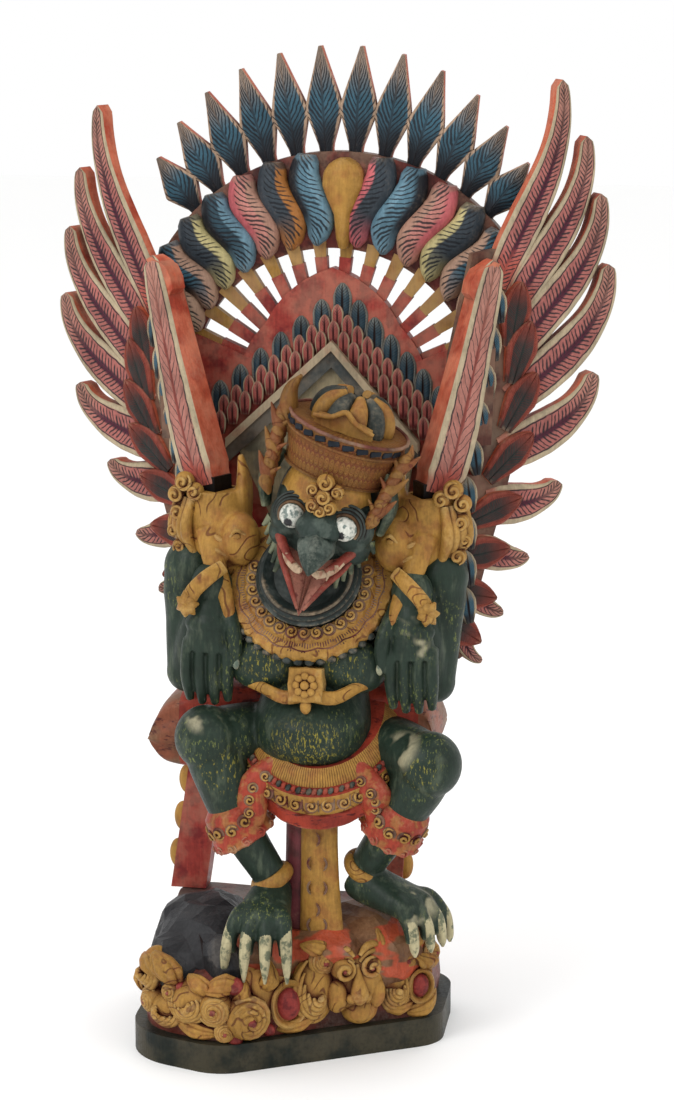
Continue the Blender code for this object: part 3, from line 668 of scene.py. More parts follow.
def sweep(root, tip, leave, arrive, half):
    """Middles, ways across and half widths along a feather that sweeps up from root to tip."""
    root, tip = np.asarray(root, float), np.asarray(tip, float)
    start = root - direction(leave) * 14
    reach = np.linalg.norm(tip - root)
    a, b = start + direction(leave) * reach * 0.45, tip - direction(arrive) * reach * 0.42
    t = np.linspace(0, 1, 40)
    middles = np.array([bezier(start, a, b, tip, x) for x in t])
    ahead = np.gradient(middles, axis=0)
    ahead /= np.linalg.norm(ahead, axis=1)[:, None]
    acrosses = np.stack([-ahead[:, 1], ahead[:, 0]], -1)
    wide = np.interp(t, np.linspace(0, 1, len(FEATHER_WIDTHS)), FEATHER_WIDTHS)
    rounded = np.sqrt(np.clip(1 - np.clip((t - 0.955) / 0.045, 0, 1) ** 2, 0, 1))
    return middles, acrosses, wide * half * np.maximum(rounded, 0.05), t


def leaf(root, ahead, length, widths, rows=14):
    """Middles, ways across and half widths of a straight leaf."""
    root, ahead = np.asarray(root, float), np.asarray(ahead, float)
    shares = np.linspace(widths[0][0], widths[-1][0], rows)
    middles = root + ahead * length * shares[:, None]
    across = np.tile(np.array((-ahead[1], ahead[0])), (rows, 1))
    knots = np.array(widths)
    return middles, across, np.interp(shares, knots[:, 0], knots[:, 1])


def squatter(point, squat, rise):
    """A point of the wing's layout, lower on a squat wing and less so near its tallest tips."""
    u, v = point
    if v > 0:
        v *= 1 - squat * (1 - SQUAT_EASED * v / WING_FEATHERS[0][1][1])
    return np.array((u, v + rise), float)


def wing_looks():
    p = pots()
    pink, cream, red, black = p.pink, p.cream, p.red, p.black
    dark = blend_colours(black, (0.10, 0.012, 0.03), 0.6)
    deep = blend_colours(pink, red, 0.55)
    green_black = (0.018, 0.026, 0.024)
    return [
        feather_paint("pink_feather", dark, pink, cream, deep, blend_colours(pink, cream, 0.35),
                      vein_width=0.09, root_to=0.22, slant=0.011, thick=0.27, to=0.78, line_at=0.70,
                      line_width=0.05, wave=0.22),
        plain_paint("wing_side_red", blend_colours(red, (0.62, 0.16, 0.08), 0.45), red, recess=0.85,
                    recess_colour=(0.05, 0.008, 0.006), wear=0.35),
        plain_paint("wing_back", (0.10, 0.035, 0.025), (0.05, 0.02, 0.018), recess=0.5, wear=0.3),
        feather_paint("dark_scale", green_black, green_black, blend_colours(red, (0.12, 0.04, 0.03), 0.6),
                      green_black, blend_colours(red, green_black, 0.3), trim_at=0.62, spacing=0.45,
                      slant=0.012, ink=(0.10, 0.015, 0.012), root_to=0.2, thick=0.22, to=0.98, line_at=3.0),
        feather_paint("small_scale", black, p.blue, cream, black, cream, trim_at=0.66, spacing=0.5,
                      slant=0.008, thick=0.2, line_at=3.0, to=0.9, root_to=0.35),
        feather_paint("leading_feather", blend_colours(deep, black, 0.4), blend_colours(pink, cream, 0.15),
                      cream, deep, blend_colours(pink, cream, 0.3), vein_width=0.05, root_to=0.16,
                      spacing=2.4, slant=0.03, thick=0.10, to=0.8, line_at=0.66, line_width=0.05, wave=0.3,
                      trim_at=0.7),
        # Near-black paint on the tenon is painted shade for the socket's slot below the feather's foot
        plain_paint("tenon_shade_black", (0.005, 0.004, 0.004), (0.02, 0.006, 0.004), wear=0.0),
    ]


def build_wing(name, looks):
    """One wing: leading feather on its tenon, plank, nine long feathers and two columns of scales."""
    side, swept, lean, squat, rise = WINGS[name]
    turn = Matrix.Rotation(radians(side * swept), 3, "Z") @ Matrix.Rotation(radians(side * lean), 3, "Y")
    turn, mouth = np.array(turn), np.array((side * SOCKET[0], SOCKET[1], SOCKET[2]), float)

    def place(u, v, w):
        return mouth + turn @ np.array((side * u, -w, v))

    slot = f"{name}_paint"
    front, back = WING_FRONT, WING_FRONT - WING_THICK
    feathers = Carving()
    curl = sizes().tip_curl / MM
    for number, (root, tip, leave, arrive, half) in enumerate(WING_FEATHERS):
        middles, acrosses, halves, t = sweep(squatter(root, squat, rise), squatter(tip, squat, rise), leave,
                                             arrive, half)
        lift = 0.8 if number % 2 else 0
        level = front - 1 - lift + curl * ease(t, 0.6, 1.0)
        vane(feathers, middles, acrosses, halves, level, 11.5 + level - front, place, face=0, edge=1, back=2)
    feathers.build(f"{name}_feathers", looks[:3], [name], slot)
    boards = Carving()
    boards.slab([squatter(p, squat, rise) for p in PLANK_OUTLINE], front - 3, back + 2, place, 0)
    boards.slab([(30, 40), (50, 188), (66, 188), (60, 40)], front + 8, back + 4, place, 0)
    boards.build(f"{name}_plank", [looks[2]], [name], slot)
    lead = Carving()
    stations = smooth_path(LEAD_STATIONS, 6)
    v = stations[:, 0]
    rounded = np.sqrt(np.clip(1 - np.clip((v - 190) / 12.5, 0, 1) ** 2, 0.02, 1))
    halves = 14 * np.interp(v, [s[0] for s in LEAD_STATIONS], [s[2] for s in LEAD_STATIONS]) * rounded
    depths = 14 * np.interp(v, [s[0] for s in LEAD_STATIONS], [s[3] for s in LEAD_STATIONS])
    middles = np.stack([stations[:, 1], v], -1)
    acrosses = np.tile(np.array((-1.0, 0.25)), (len(v), 1))
    acrosses /= np.linalg.norm(acrosses, axis=1)[:, None]
    vane(lead, middles, acrosses, halves, depths - 0.5, depths * 2 - 0.5, place, face=0, edge=1, back=1)
    wide, deep, low = TENON
    tenon = [(-wide, 12), (wide, 12), (wide, -low), (-wide, -low)]
    # The tenon's foot above the mouth shows in this near-black painted shade
    lead.slab(tenon, deep, -deep, place, 2)
    # The hood that overhangs the red side below the feather's tip
    inner = np.interp((166, 174, 184, 194, 201), v, middles[:, 0] - halves)
    hood = [(u + out, level)
            for u, out, level in zip(inner, (2, -6.5, -8, -6, 2), (166, 174, 184, 194, 201))]
    hood += [(inner[-1] + 7, 199), (inner[0] + 7, 168)]
    lead.slab(hood, 9.5, -8, place, 1)
    lead.build(f"{name}_leading_feather", [looks[5], looks[1], looks[6]], [name], slot)
    scales = Carving()
    for root, tip, leave, arrive, half in WING_FEATHERS[1:]:
        widths = ((-0.95, 7), (-0.5, 12), (-0.1, 15.5), (0.2, 12), (0.42, 7), (0.55, 1.5))
        ahead = direction(leave + 22)
        middles, acrosses, halves = leaf(squatter(root, squat, rise) - ahead * 2, ahead, 38, widths, 16)
        level = np.linspace(front + 1, front + 5, 16)
        vane(scales, middles, acrosses, halves, level, 8, place, relief=1.2, face=0, edge=1, back=1)
    scales.build(f"{name}_dark_scales", [looks[3], looks[1]], [name], slot)
    small = Carving()
    for k in range(9):
        v = -104 + 33 * k
        u = np.interp(v, (-110, 0, 60, 200), (40, 40, 52, 72))
        spot = squatter((u, v), squat, rise)
        widths = ((-0.6, 4), (-0.1, 8.5), (0.25, 9), (0.6, 6), (0.8, 1.2))
        middles, acrosses, halves = leaf(spot, direction(100), 24, widths, 12)
        vane(small, middles, acrosses, halves, np.linspace(front + 6, front + 9, 12), 9, place, face=0,
             edge=1, back=1)
    small.build(f"{name}_small_scales", [looks[4], looks[1]], [name], slot)


class GARUDA_OT_wings(bpy.types.Operator):
    """Carve and paint both wings over their planks"""

    bl_idname = "garuda.wings"
    bl_label = "Wings"

    def execute(self, context):
        looks = wing_looks()
        for name in WINGS:
            build_wing(name, looks)
        return {"FINISHED"}


def fan_place(u, v, w):
    return np.array((u, FAN_Y - w, v), float)


def around(centre, radius, degrees):
    return centre + direction(90 - degrees) * radius


def across_band(degrees, share):
    outer, inner = around(ARCH_CENTRE, ARCH_RADIUS, degrees), around(RIM_CENTRE, RIM_RADIUS, degrees * 1.06)
    return outer + (inner - outer) * share


def band_paints():
    """The plumes of the band, from left to right: vein, body, edge and stroke colours of each."""
    p = pots()
    cream, blue, black, pink = p.cream, p.blue, p.black, p.pink
    gold, red = p.gold, p.red
    yellow = (0.42, 0.36, 0.17)
    slate = (0.035, 0.045, 0.055)
    sky = (0.12, 0.22, 0.28)
    rose = (0.46, 0.11, 0.12)
    return {
        "cream_plume": (yellow, cream, blend_colours(cream, pink, 0.4), black),
        "blue_plume": (black, blue, blend_colours(cream, pink, 0.45), black),
        "green_plume": (slate, slate, yellow, black),
        "navy_plume": (black, blend_colours(blue, black, 0.5), sky, black),
        "rose_plume": (rose, blend_colours(rose, cream, 0.35), blend_colours(cream, pink, 0.6), black),
        "amber_plume": (slate, slate, blend_colours(gold, red, 0.35), black),
        "sky_plume": (black, blend_colours(blue, sky, 0.5), sky, black),
        "dark_plume": (slate, slate, rose, black),
    }


BAND_ORDER = "cream blue green navy rose amber sky dark sky rose green blue cream blue".split()


def fan_looks():
    p = pots()
    cream, blue, black, pink, red = p.cream, p.blue, p.black, p.pink, p.red
    pale = blend_colours(cream, pink, 0.3)
    looks = {
        "ray": feather_paint("ray_feather", blend_colours(blue, black, 0.6), blue, pale, black, pale,
                             trim_at=0.84, vein_width=0.05, root_to=0.56, spacing=1.5, slant=0.024,
                             thick=0.32, line_at=3.0, to=1.1),
        "side": plain_paint("fan_side_red", blend_colours(red, (0.5, 0.13, 0.06), 0.4), red, recess=0.8,
                            wear=0.3),
        "back": plain_paint("fan_back", (0.10, 0.035, 0.025), (0.05, 0.02, 0.018), recess=0.5, wear=0.3),
        "gold": plain_paint("fan_gold", p.gold, blend_colours(p.gold, (0.2, 0.06, 0.02), 0.4), wear=0.3),
        # Near-black red: painted shade for the band's lower lip and the gaps between its plumes, also used
        # on the plumes' backs
        "lip": plain_paint("band_lip_shade", (0.055, 0.010, 0.008), (0.12, 0.02, 0.015), wear=0.3),
        "rim": plain_paint("rim_red", (0.32, 0.04, 0.03), (0.20, 0.02, 0.02), patch=60.0, wear=0.3),
        "blue_scale": feather_paint("blue_leaf", black, blend_colours(blue, black, 0.5),
                                    blend_colours(blue, cream, 0.4), black, blend_colours(blue, cream, 0.3),
                                    trim_at=0.72, spacing=0.6, slant=0.006, thick=0.22, line_at=3.0,
                                    to=0.95),
        "rose_scale": feather_paint("rose_leaf", (0.06, 0.008, 0.008), (0.34, 0.08, 0.065), cream,
                                    (0.10, 0.01, 0.01), (0.36, 0.14, 0.11), trim_at=0.76, spacing=0.55,
                                    slant=0.005, thick=0.26, line_at=3.0, to=0.75),
        "cream": plain_paint("gable_cream", cream, blend_colours(cream, red, 0.25), wear=0.2),
        "slate": plain_paint("gable_slate", (0.05, 0.06, 0.06), (0.02, 0.024, 0.026), wear=0.3),
        "beige": plain_paint("gable_beige", (0.26, 0.22, 0.13), (0.14, 0.13, 0.09), wear=0.2),
    }
    for name, (vein, body, edge, ink) in band_paints().items():
        looks[name] = feather_paint(name, vein, body, edge, blend_colours(body, black, 0.2), edge,
                                    trim_at=0.66, vein_at=-0.9, vein_width=0.16, root_to=0.06, spacing=1.25,
                                    slant=0.024, thick=0.3, line_at=3.0, to=1.02, ink=ink, **{"from": 0.25})
    return looks


def build_rays(looks):
    """The pointed feathers that stand round the band."""
    rays = Carving()
    for k in range(RAYS):
        degrees = (k - (RAYS - 1) / 2) * RAY_STEP
        length = 92 - 36 * (abs(degrees) / 45) ** 2.2
        widths = ((-0.12, 6), (0.04, 6), (0.12, 8.4), (0.4, 17), (0.55, 13.5), (0.75, 8), (1, 1.4))
        foot = around(ARCH_CENTRE, ARCH_RADIUS, degrees)
        middles, acrosses, halves = leaf(foot, direction(90 - degrees * 0.86), length, widths, 26)
        profile = ((-1, -1.2), (-0.9, -0.4), (-0.5, 1.2), (-0.06, 3.0), (0, 2.6), (0.06, 3.0), (0.5, 1.2),
                   (0.9, -0.4), (1, -1.2))
        base = -10.2 if k % 2 else -9.6
        vane(rays, middles, acrosses, halves, base, 10.5, fan_place, profile=profile)
    rays.build("fan_rays", [looks["ray"], looks["side"]], *FAN)


PLUME = ((-1, -6), (-0.9, -1.5), (-0.6, 2.6), (-0.2, 4.6), (0.2, 4.8), (0.6, 3.4), (0.88, 0.2), (1, -5))


def build_band(looks):
    """The arched band: its core, seven S-shaped plumes on each side and the gold boss between them."""
    core = Carving()
    degrees = np.linspace(-73, 73, 49)
    rows = []
    for d in degrees:
        section = ((0, -18), (0, -5), (0.45, 4), (0.93, 0), (1, -2), (1, -14), (0, -18))
        rows.append([fan_place(*across_band(d, share), w) for share, w in section])
    # The band's front and its inner edge take the dark lip paint, as painted shade under and between the
    # plumes
    core.rings(rows, np.array([1, 0, 0, 0, 0, 1]))
    core.build("fan_band", [looks["lip"], looks["back"]], *FAN)
    for number, colour in enumerate(BAND_ORDER):
        side = -1 if number < 7 else 1
        k = 6 - number if number < 7 else number - 7
        middle = 1.5 + side * (8.8 + 9.5 * k)
        shares = np.linspace(0.0, 1.0, 30)
        swing = np.interp(shares, (0, 0.28, 0.5, 0.72, 1), (1.6, 2.9, 0, -2.9, -1.0))
        swing = np.convolve(np.pad(swing, 3, "edge"), np.ones(7) / 7, "valid")
        wide = np.interp(shares, (0, 0.06, 0.28, 0.72, 0.92, 1), (8, 11.5, 14.6, 14.0, 9, 2.5))
        points = np.array([across_band(middle + side * s, 0.005 + 0.955 * h) for s, h in zip(swing, shares)])
        ahead = np.gradient(points, axis=0)
        ahead /= np.linalg.norm(ahead, axis=1)[:, None]
        acrosses = np.stack([ahead[:, 1], -ahead[:, 0]], -1) * side
        crown = 3.2 + 6.5 * np.sin(np.pi * np.clip(shares * 0.9 + 0.05, 0, 1)) + 0.6 * (number % 2)
        plume = Carving()
        vane(plume, points, acrosses, wide, crown, 16, fan_place, face=0, edge=0, back=1, profile=PLUME)
        plume.build(f"fan_plume_{number + 1}", [looks[f"{colour}_plume"], looks["lip"]], *FAN, sharp=60)
    key = Carving()
    shares = np.linspace(0, 1, 30)
    z = 782 - 79 * shares
    wide = np.interp(shares, (0, 0.05, 0.15, 0.3, 0.45, 0.62, 0.9, 1), (4, 12, 17.5, 18.5, 14, 8, 6.5, 4))
    points = np.stack([np.full(30, 5.0), z], -1)
    acrosses = np.tile(np.array((1.0, 0.0)), (30, 1))
    crown = 9 + 6 * np.sin(np.pi * np.clip(shares + 0.05, 0, 1))
    vane(key, points, acrosses, wide, crown, 22, fan_place, profile=PLUME, face=0, edge=0, back=0)
    key.build("fan_boss", [looks["gold"]], *FAN, sharp=60)


def build_spokes(looks):
    """The ribs between field and band, red at their inner ends and gold at their outer ones."""
    spokes = Carving()
    for k in range(SPOKES):
        degrees = (k - (SPOKES - 1) / 2) * SPOKE_STEP
        ahead = direction(90 - degrees)
        across = np.array((ahead[1], -ahead[0]))
        inner = around(RIM_CENTRE, field_radius(degrees), degrees)
        length = RIM_RADIUS + 8 - field_radius(degrees)
        for start, end, look in ((-6, length * 0.45, 1), (length * 0.45, length, 0)):
            a, b = inner + ahead * start, inner + ahead * end
            outline = [a - across * 4.8, b - across * (6.4 - 0.8 * look), b + across * (6.4 - 0.8 * look),
                       a + across * 4.8]
            spokes.slab(outline, 0.2 if look == 0 else 0, -10, fan_place, look)
    spokes.build("fan_spokes", [looks["gold"], looks["rim"]], *FAN)


def field_radius(degrees):
    """How far the red field reaches from the rim's centre: a low arch with a peak."""
    return 87 + 26 * max(0, 1 - abs(degrees) / 44)


# The rows of scales: where the top one's tip is, height over the field, size and scales on each side
SCALE_ROWS = ((4, 672, 4.5, 1.0, 6), (0, 653, 7.5, 0.62, 9), (-3, 639, 10.5, 0.62, 9))


def build_gable(looks):
    """The red field, its rows of scales, and the gable of two beams below them."""
    field = Carving()
    outline = [(-96, 470), (-108, 520)]
    outline += [around(RIM_CENTRE, RIM_RADIUS + 4, degrees) for degrees in (-LAST_GAP - 11, -LAST_GAP)]
    outline += [around(RIM_CENTRE, field_radius(degrees), degrees)
                for degrees in np.linspace(-LAST_GAP, LAST_GAP, 53)]
    outline += [around(RIM_CENTRE, RIM_RADIUS + 4, degrees) for degrees in (LAST_GAP, LAST_GAP + 11)]
    outline += [(92, 520), (90, 470)]
    field.slab(outline, 3, -12, fan_place, 0, RIM_CENTRE)
    field.slab([(-4, 604), (-92, 526), (-60, 460), (60, 460), (70, 526)], 10, -2, fan_place, 1)
    field.build("fan_field", [looks["rim"], looks["beige"]], *FAN)
    for row, (top_x, tip_z, lift, size, count) in enumerate(SCALE_ROWS):
        scales = Carving()
        for k in range(-count, count + 1):
            tip = np.array((top_x + k * (18.5 if k < 0 else 14.5) * size, tip_z - 15.0 * size * abs(k)))
            widths = [(share, half * size)
                      for share, half in ((-1, 6), (-0.7, 8.5), (-0.35, 9), (-0.12, 6), (0, 1.5))]
            middles, acrosses, halves = leaf(tip, np.array((0.0, 1.0)), 34 * size, widths, 14)
            vane(scales, middles, acrosses, halves, lift, 9, fan_place, relief=1.6 * size)
        look = looks["rose_scale"] if row else looks["blue_scale"]
        scales.build(f"fan_scales_{row + 1}", [look, looks["rim"]], *FAN)
    frame_work = Carving()
    for side_x in (-100, 74):
        for top, bottom, front, look in ((0, -9, 18, 0), (-8, -24, 15.5, 1)):
            peak, low = GABLE_TOP[1], GABLE_TOP[1] - 90
            beam = [(-4, peak + top), (side_x, low + top), (side_x, low + bottom), (-4, peak + bottom)]
            frame_work.slab(beam, front, -2, fan_place, look)
    frame_work.build("fan_gable", [looks["cream"], looks["slate"]], *FAN)


# Where each post stands and where it ends, from side to side, and half its width
POSTS = ((-142, -118), (41, 52))
POST_HALF = 16.5


def build_stand(looks):
    stand = Carving()
    board = [(-100, 540), (-88, 420), (-98, 320), (-128, 250), (-80, 262), (-48, 276)]
    board += [(0, 268), (40, 246), (64, 320), (74, 420), (82, 540)]
    stand.slab(board, 0, -22, fan_place, 0)
    half = POST_HALF
    for low, high in POSTS:
        outline = [(low - half, 103.5), (high - half, 262), (high + half, 268), (low + half, 103.5)]
        stand.slab(outline, -1, -23, fan_place, 0)
    stand.build("fan_posts", [looks["rim"]], *FAN)
    trim = Carving()
    for low, high in POSTS:
        outer = POST_HALF if low > 0 else -POST_HALF
        for k in range(4):
            x = low + (high - low) * (k + 1) / 5 + outer
            trim.ball((x, FAN_Y + 12, 133.5 + 36 * k), (8, 7, 14))
    trim.build("fan_post_scallops", [looks["gold"]], *FAN)


class GARUDA_OT_fan(bpy.types.Operator):
    """Carve and paint the tail fan: rays, band, spokes, scales, gable and posts"""

    bl_idname = "garuda.fan"
    bl_label = "Tail fan"

    def execute(self, context):
        looks = fan_looks()
        for build in (build_rays, build_band, build_spokes, build_gable, build_stand):
            build(looks)
        return {"FINISHED"}


def v3(*p):
    return np.array(p, float)


def unit(v):
    return np.asarray(v, float) / np.linalg.norm(v)


def skin_paint():
    """Dark green skin with pale patches that are partly brush work and partly painted sheen, painted
    highlights over the swellings, and yellow green on the belly.
    """
    look, nodes, shader = new_material("green_skin")
    place = nodes.here()
    green = pots().skin
    # The pale patches stand partly for brush work and partly for painted sheen of the glossy skin
    pale = blend_colours(green, (0.095, 0.115, 0.075), 0.7)
    brush_and_sheen = nodes.noise(nodes.stretch(place, (90.0, 90.0, 26.0)), 1.0, 4.0, 0.65)
    colour = nodes.mix(nodes.times(nodes.step(brush_and_sheen, 0.50, 0.70), 0.7), green, pale)
    scratch = nodes.noise(nodes.stretch(place, (500.0, 260.0, 170.0)), 1.0, 3.0, 0.7)
    patch = nodes.noise(place, 26.0, 3.0)
    rubbed = nodes.times(nodes.step(scratch, 0.56, 0.64), nodes.step(patch, 0.47, 0.60))
    colour = nodes.mix(nodes.times(rubbed, 0.7), colour, (0.15, 0.17, 0.045))
    # The pale patches listed in SKIN_PATCHES are painted highlights on the knees, hands, wrists and a foot
    yellow, painted_highlight = (0.23, 0.19, 0.025), (0.34, 0.31, 0.20)
    for spot, reach, tint, low in SKIN_PATCHES:
        off = nodes.add("ShaderNodeVectorMath", {0: place, 1: tuple(v * MM for v in spot)},
                        operation="DISTANCE")
        near = nodes.step(off.outputs["Value"], reach * 0.5 * MM, reach * MM, 1.0, 0.0)
        ragged = nodes.step(scratch if tint else patch, low, low + 0.07)
        colour = nodes.mix(nodes.times(near, nodes.times(ragged, 0.8)), colour, yellow if tint else painted_highlight)
    # The cuts take near-black painted shade
    finish_paint(nodes, shader, colour, recess=0.8, recess_colour=(0.004, 0.006, 0.004), wear=0.7,
                 worn=(0.22, 0.23, 0.14))
    shader.inputs["Coat Weight"].default_value = 0.08
    shader.inputs["Coat Roughness"].default_value = 0.3
    return look


def gold_paint(name, lines=0.0, cell=0.0, engraved=0.0, recess=1.0, base=None):
    """Ochre gold paint, with red brown painted shade in its cuts and engraved lines or rows of curls where
    asked for.
    """
    look, nodes, shader = new_material(name)
    gold = base or pots().gold
    deep = blend_colours(gold, (0.18, 0.05, 0.02), 0.5)
    tone = nodes.noise(nodes.here(), 55.0, 4.0, 0.6)
    colour = nodes.mix(nodes.step(tone, 0.45, 0.66), gold, deep)
    ink = (0.09, 0.018, 0.010)
    carved = None
    if lines:
        _, along, _ = nodes.split(nodes.uv("share"))
        wobble = nodes.times(nodes.noise(nodes.here(), 160.0, 2.0), 0.7)
        run = nodes.plus(nodes.times(along, lines), wobble)
        groove = nodes.step(nodes.off_middle(run), 0.06, 0.2, 1.0, 0.0)
        colour = nodes.mix(nodes.times(groove, 0.6), colour, ink)
        carved = nodes.minus(1.0, groove)
    if engraved:
        winding = nodes.times(nodes.noise(nodes.here(), engraved, 1.0, 0.4), 9.0)
        groove = nodes.off_middle(winding)
        groove = nodes.times(nodes.step(groove, 0.03, 0.11, 1.0, 0.0),
                            nodes.step(nodes.noise(nodes.here(), 38.0, 1.0), 0.50, 0.56))
        colour = nodes.mix(nodes.times(groove, 0.75), colour, ink)
        carved = nodes.minus(1.0, groove)
    if cell:
        cells = nodes.add("ShaderNodeGroup", (), node_tree=curl_rows_group())
        nodes.feed(cells.inputs[0], nodes.stretch(nodes.uv("span"), (1 / cell, 1 / cell, 1.0)))
        colour = nodes.mix(nodes.times(cells.outputs["Dark"], 0.8), colour, ink)
        carved = cells.outputs["Height"]
    worn = blend_colours(gold, (0.52, 0.38, 0.16), 0.35 if base else 1.0)
    # The cuts take red brown painted shade
    finish_paint(nodes, shader, colour, recess=recess, recess_colour=(0.07, 0.012, 0.008), wear=0.4,
                 worn=worn, carved=carved, depth=1.3)
    return look


def cloth_paint(name, colour, second):
    """Red cloth with ragged dark brush strokes."""
    look, nodes, shader = new_material(name)
    place = nodes.here()
    base = nodes.mix(nodes.step(nodes.noise(place, 30.0, 3.0), 0.45, 0.62), colour, second)
    ragged = nodes.noise(nodes.stretch(place, (55.0, 55.0, 210.0)), 1.0, 3.0, 0.7)
    base = nodes.mix(nodes.times(nodes.step(ragged, 0.56, 0.64), 0.8), base, (0.05, 0.008, 0.01))
    finish_paint(nodes, shader, base, recess=0.9, wear=0.4)
    return look


# Where the skin is painted with yellow, or given a pale painted highlight: place, reach, whether yellow, how
# dense
SKIN_PATCHES = (
    ((-12, -86, 288), 30, True, 0.53), ((14, -86, 290), 26, True, 0.54), ((-40, -70, 356), 24, True, 0.55),
    ((30, -70, 356), 22, True, 0.56), ((-78, -80, 262), 24, True, 0.57), ((100, -80, 268), 20, True, 0.58),
    ((-92, -78, 312), 20, False, 0.50), ((76, -70, 290), 26, False, 0.44),
    ((-88, -72, 418), 20, False, 0.50), ((88, -72, 418), 22, False, 0.48),
    ((-92, -70, 372), 24, False, 0.54), ((90, -72, 372), 24, False, 0.54), ((96, -50, 146), 30, False, 0.52),
)
LEGS = (
    (v3(-34, 8, 278), v3(-93, -62, 288), v3(-66, -54, 208), v3(-38, -46, 158)),
    (v3(40, 8, 276), v3(104, -58, 272), v3(72, -44, 214), v3(42, -26, 166)),
)
FEET = (
    (v3(-38, -46, 158), [v3(-62, -84, 128), v3(-48, -90, 129), v3(-34, -92, 129), v3(-20, -90, 129)],
     (20, 36), (1, 0, 0)),
    (v3(42, -26, 166), [v3(80, -52, 134), v3(90, -42, 134), v3(97, -30, 134), v3(101, -17, 133)], (18, 26),
     (-0.5, -1, 0)),
)


def arm_points(side):
    shoulder, elbow = v3(side * 110 - 4, -18, 430), v3(side * 111 - 9, -17, 336)
    wrist, knuckles = v3(side * 88 - 2, -46, 420), v3(side * 90 - 2, -58, 366)
    return shoulder, elbow, wrist, knuckles


def leg_forms(skin):
    for hip, knee, shin, ankle in LEGS:
        skin.tube([hip, (hip + knee) / 2 + v3(0, -2, 2), knee], [(26, 26), (27, 27), (26, 25)], 22)
        skin.ball(knee, (28, 28, 29))
        calf = knee * 0.55 + shin * 0.45 + v3(0, 3, 0)
        skin.tube([knee, calf, shin, ankle], [(24, 24), (24.5, 25), (19, 19), (15, 15)], 22)
    for ankle, toes, _, across in FEET:
        middle = sum(toes) / len(toes)
        heel = ankle + (ankle - middle) * 0.25 - v3(0, 0, 16)
        skin.tube([heel, ankle - v3(0, 0, 14), middle], [(15, 12), (18, 19), (28, 12)], 20, across)
        for toe in toes:
            ahead = unit(toe - ankle)
            knuckle = toe - ahead * 4 + v3(0, 0, 3)
            skin.tube([toe - ahead * 20, knuckle, toe + ahead * 9 - v3(0, 0, 4),
                       toe + ahead * 13 - v3(0, 0, 18)],
                      [(6.5, 7), (8.4, 8.6), (7, 7), (6, 5)], 14, across)


def claw_forms(claws):
    for ankle, toes, claw_tip, across in FEET:
        for toe in toes:
            ahead = unit(toe - ankle)
            reach, drop = claw_tip
            path = [toe + ahead * 5 + v3(0, 0, 4), toe + ahead * 13.5 - v3(0, 0, 5),
                    toe + ahead * (reach - 1) - v3(0, 0, 20), toe + ahead * reach - v3(0, 0, drop + 1)]
            claws.tube(path, [(6, 4), (5.6, 5), (4.4, 4.2), (1.2, 1.2)], 16, across, 6)


def arm_forms(skin, hands, nails, side):
    """One raised forearm, whose hand hangs down from the wrist."""
    shoulder, elbow, wrist, knuckles = arm_points(side)
    forearm = (elbow + wrist) / 2 + v3(0, -4, 0)
    palm = (wrist + knuckles) / 2 + v3(0, -6, 0)
    skin.ball(shoulder, (25, 23, 27))
    skin.ball(elbow, (18, 17, 19))
    skin.tube([v3(side * 62, -4, 424), shoulder, (shoulder + elbow) / 2 + v3(side * 1, 0, 0), elbow],
              [(22, 22), (21, 20), (20, 18), (17.5, 16)], 20)
    skin.tube([elbow, forearm, wrist], [(16, 16), (17, 15), (15, 14)], 18)
    hands.ball(wrist + v3(0, -2, 2), (18, 17, 20))
    hands.tube([wrist, palm, knuckles], [(15, 13), (17.5, 12), (21, 11)], 20)
    hands.tube([palm + v3(0, 0, 4), palm - v3(0, 0, 3), palm - v3(0, 0, 10)],
               [(17, 12), (21, 14.5), (18, 12)], 20)
    for k in range(4):
        beside = k - 1.5
        root = knuckles + v3(beside * 11.6, 3 + abs(beside), 8)
        bend = root + v3(beside * 0.4, -8, -27)
        tip = root + v3(beside * -0.4, 0, -58 + 3 * abs(beside))
        hands.tube([root, root + v3(0, -6, -8), bend, (bend + tip) / 2 + v3(0, -1, 0), tip],
                   [(5.2, 7), (5.5, 7.6), (5.7, 7.2), (5.2, 6.4), (3.6, 4.2)], 16)
        nails.ball(tip + v3(0, -5.0, 7), (3.6, 2.0, 7), Euler((0.25, 0, 0)), 10)
    thumb = [wrist + v3(-side * 12, -4, -8), knuckles + v3(-side * 25, -6, 14),
             knuckles + v3(-side * 25, -5, -12)]
    hands.tube(thumb, [(7, 7), (7.2, 7), (4.5, 5)], 14)
    nails.ball(thumb[2] + v3(-side * 2, -4, 3), (3.2, 1.8, 5.4), None, 8)


def oval_stack(carving, middle_x, stations):
    """A trunk or neck of level ovals: height, middle across and through, half width and half depth."""
    t = circle(41)
    rings = [
        np.stack([middle_x + x + across * np.cos(t), y + through * np.sin(t), np.full_like(t, z)], -1)
        for z, x, y, across, through in smooth_path(stations, 4)
    ]
    carving.rings(rings)


def torso_forms(skin):
    stations = (
        (262, 0, -20, 46, 40), (280, 0, -26, 51, 53), (304, 0, -28, 51, 57), (330, 0, -16, 47, 45),
        (352, 0, -14, 60, 43), (385, 0, -8, 78, 43), (420, 0, 2, 80, 37), (446, 0, 6, 52, 32),
        (462, 0, 6, 34, 28),
    )
    oval_stack(skin, -4, stations)
    skin.ball((-4, -46, 298), (43, 34, 33))
    for side in (-1, 1):
        skin.ball((-5 + side * 36, -50, 357), (35, 19, 26), Euler((0, side * 0.25, 0)))
    skin.tube([(-2, -18, 430), (6, -24, 462)], [(34, 32), (34, 32)], 24)


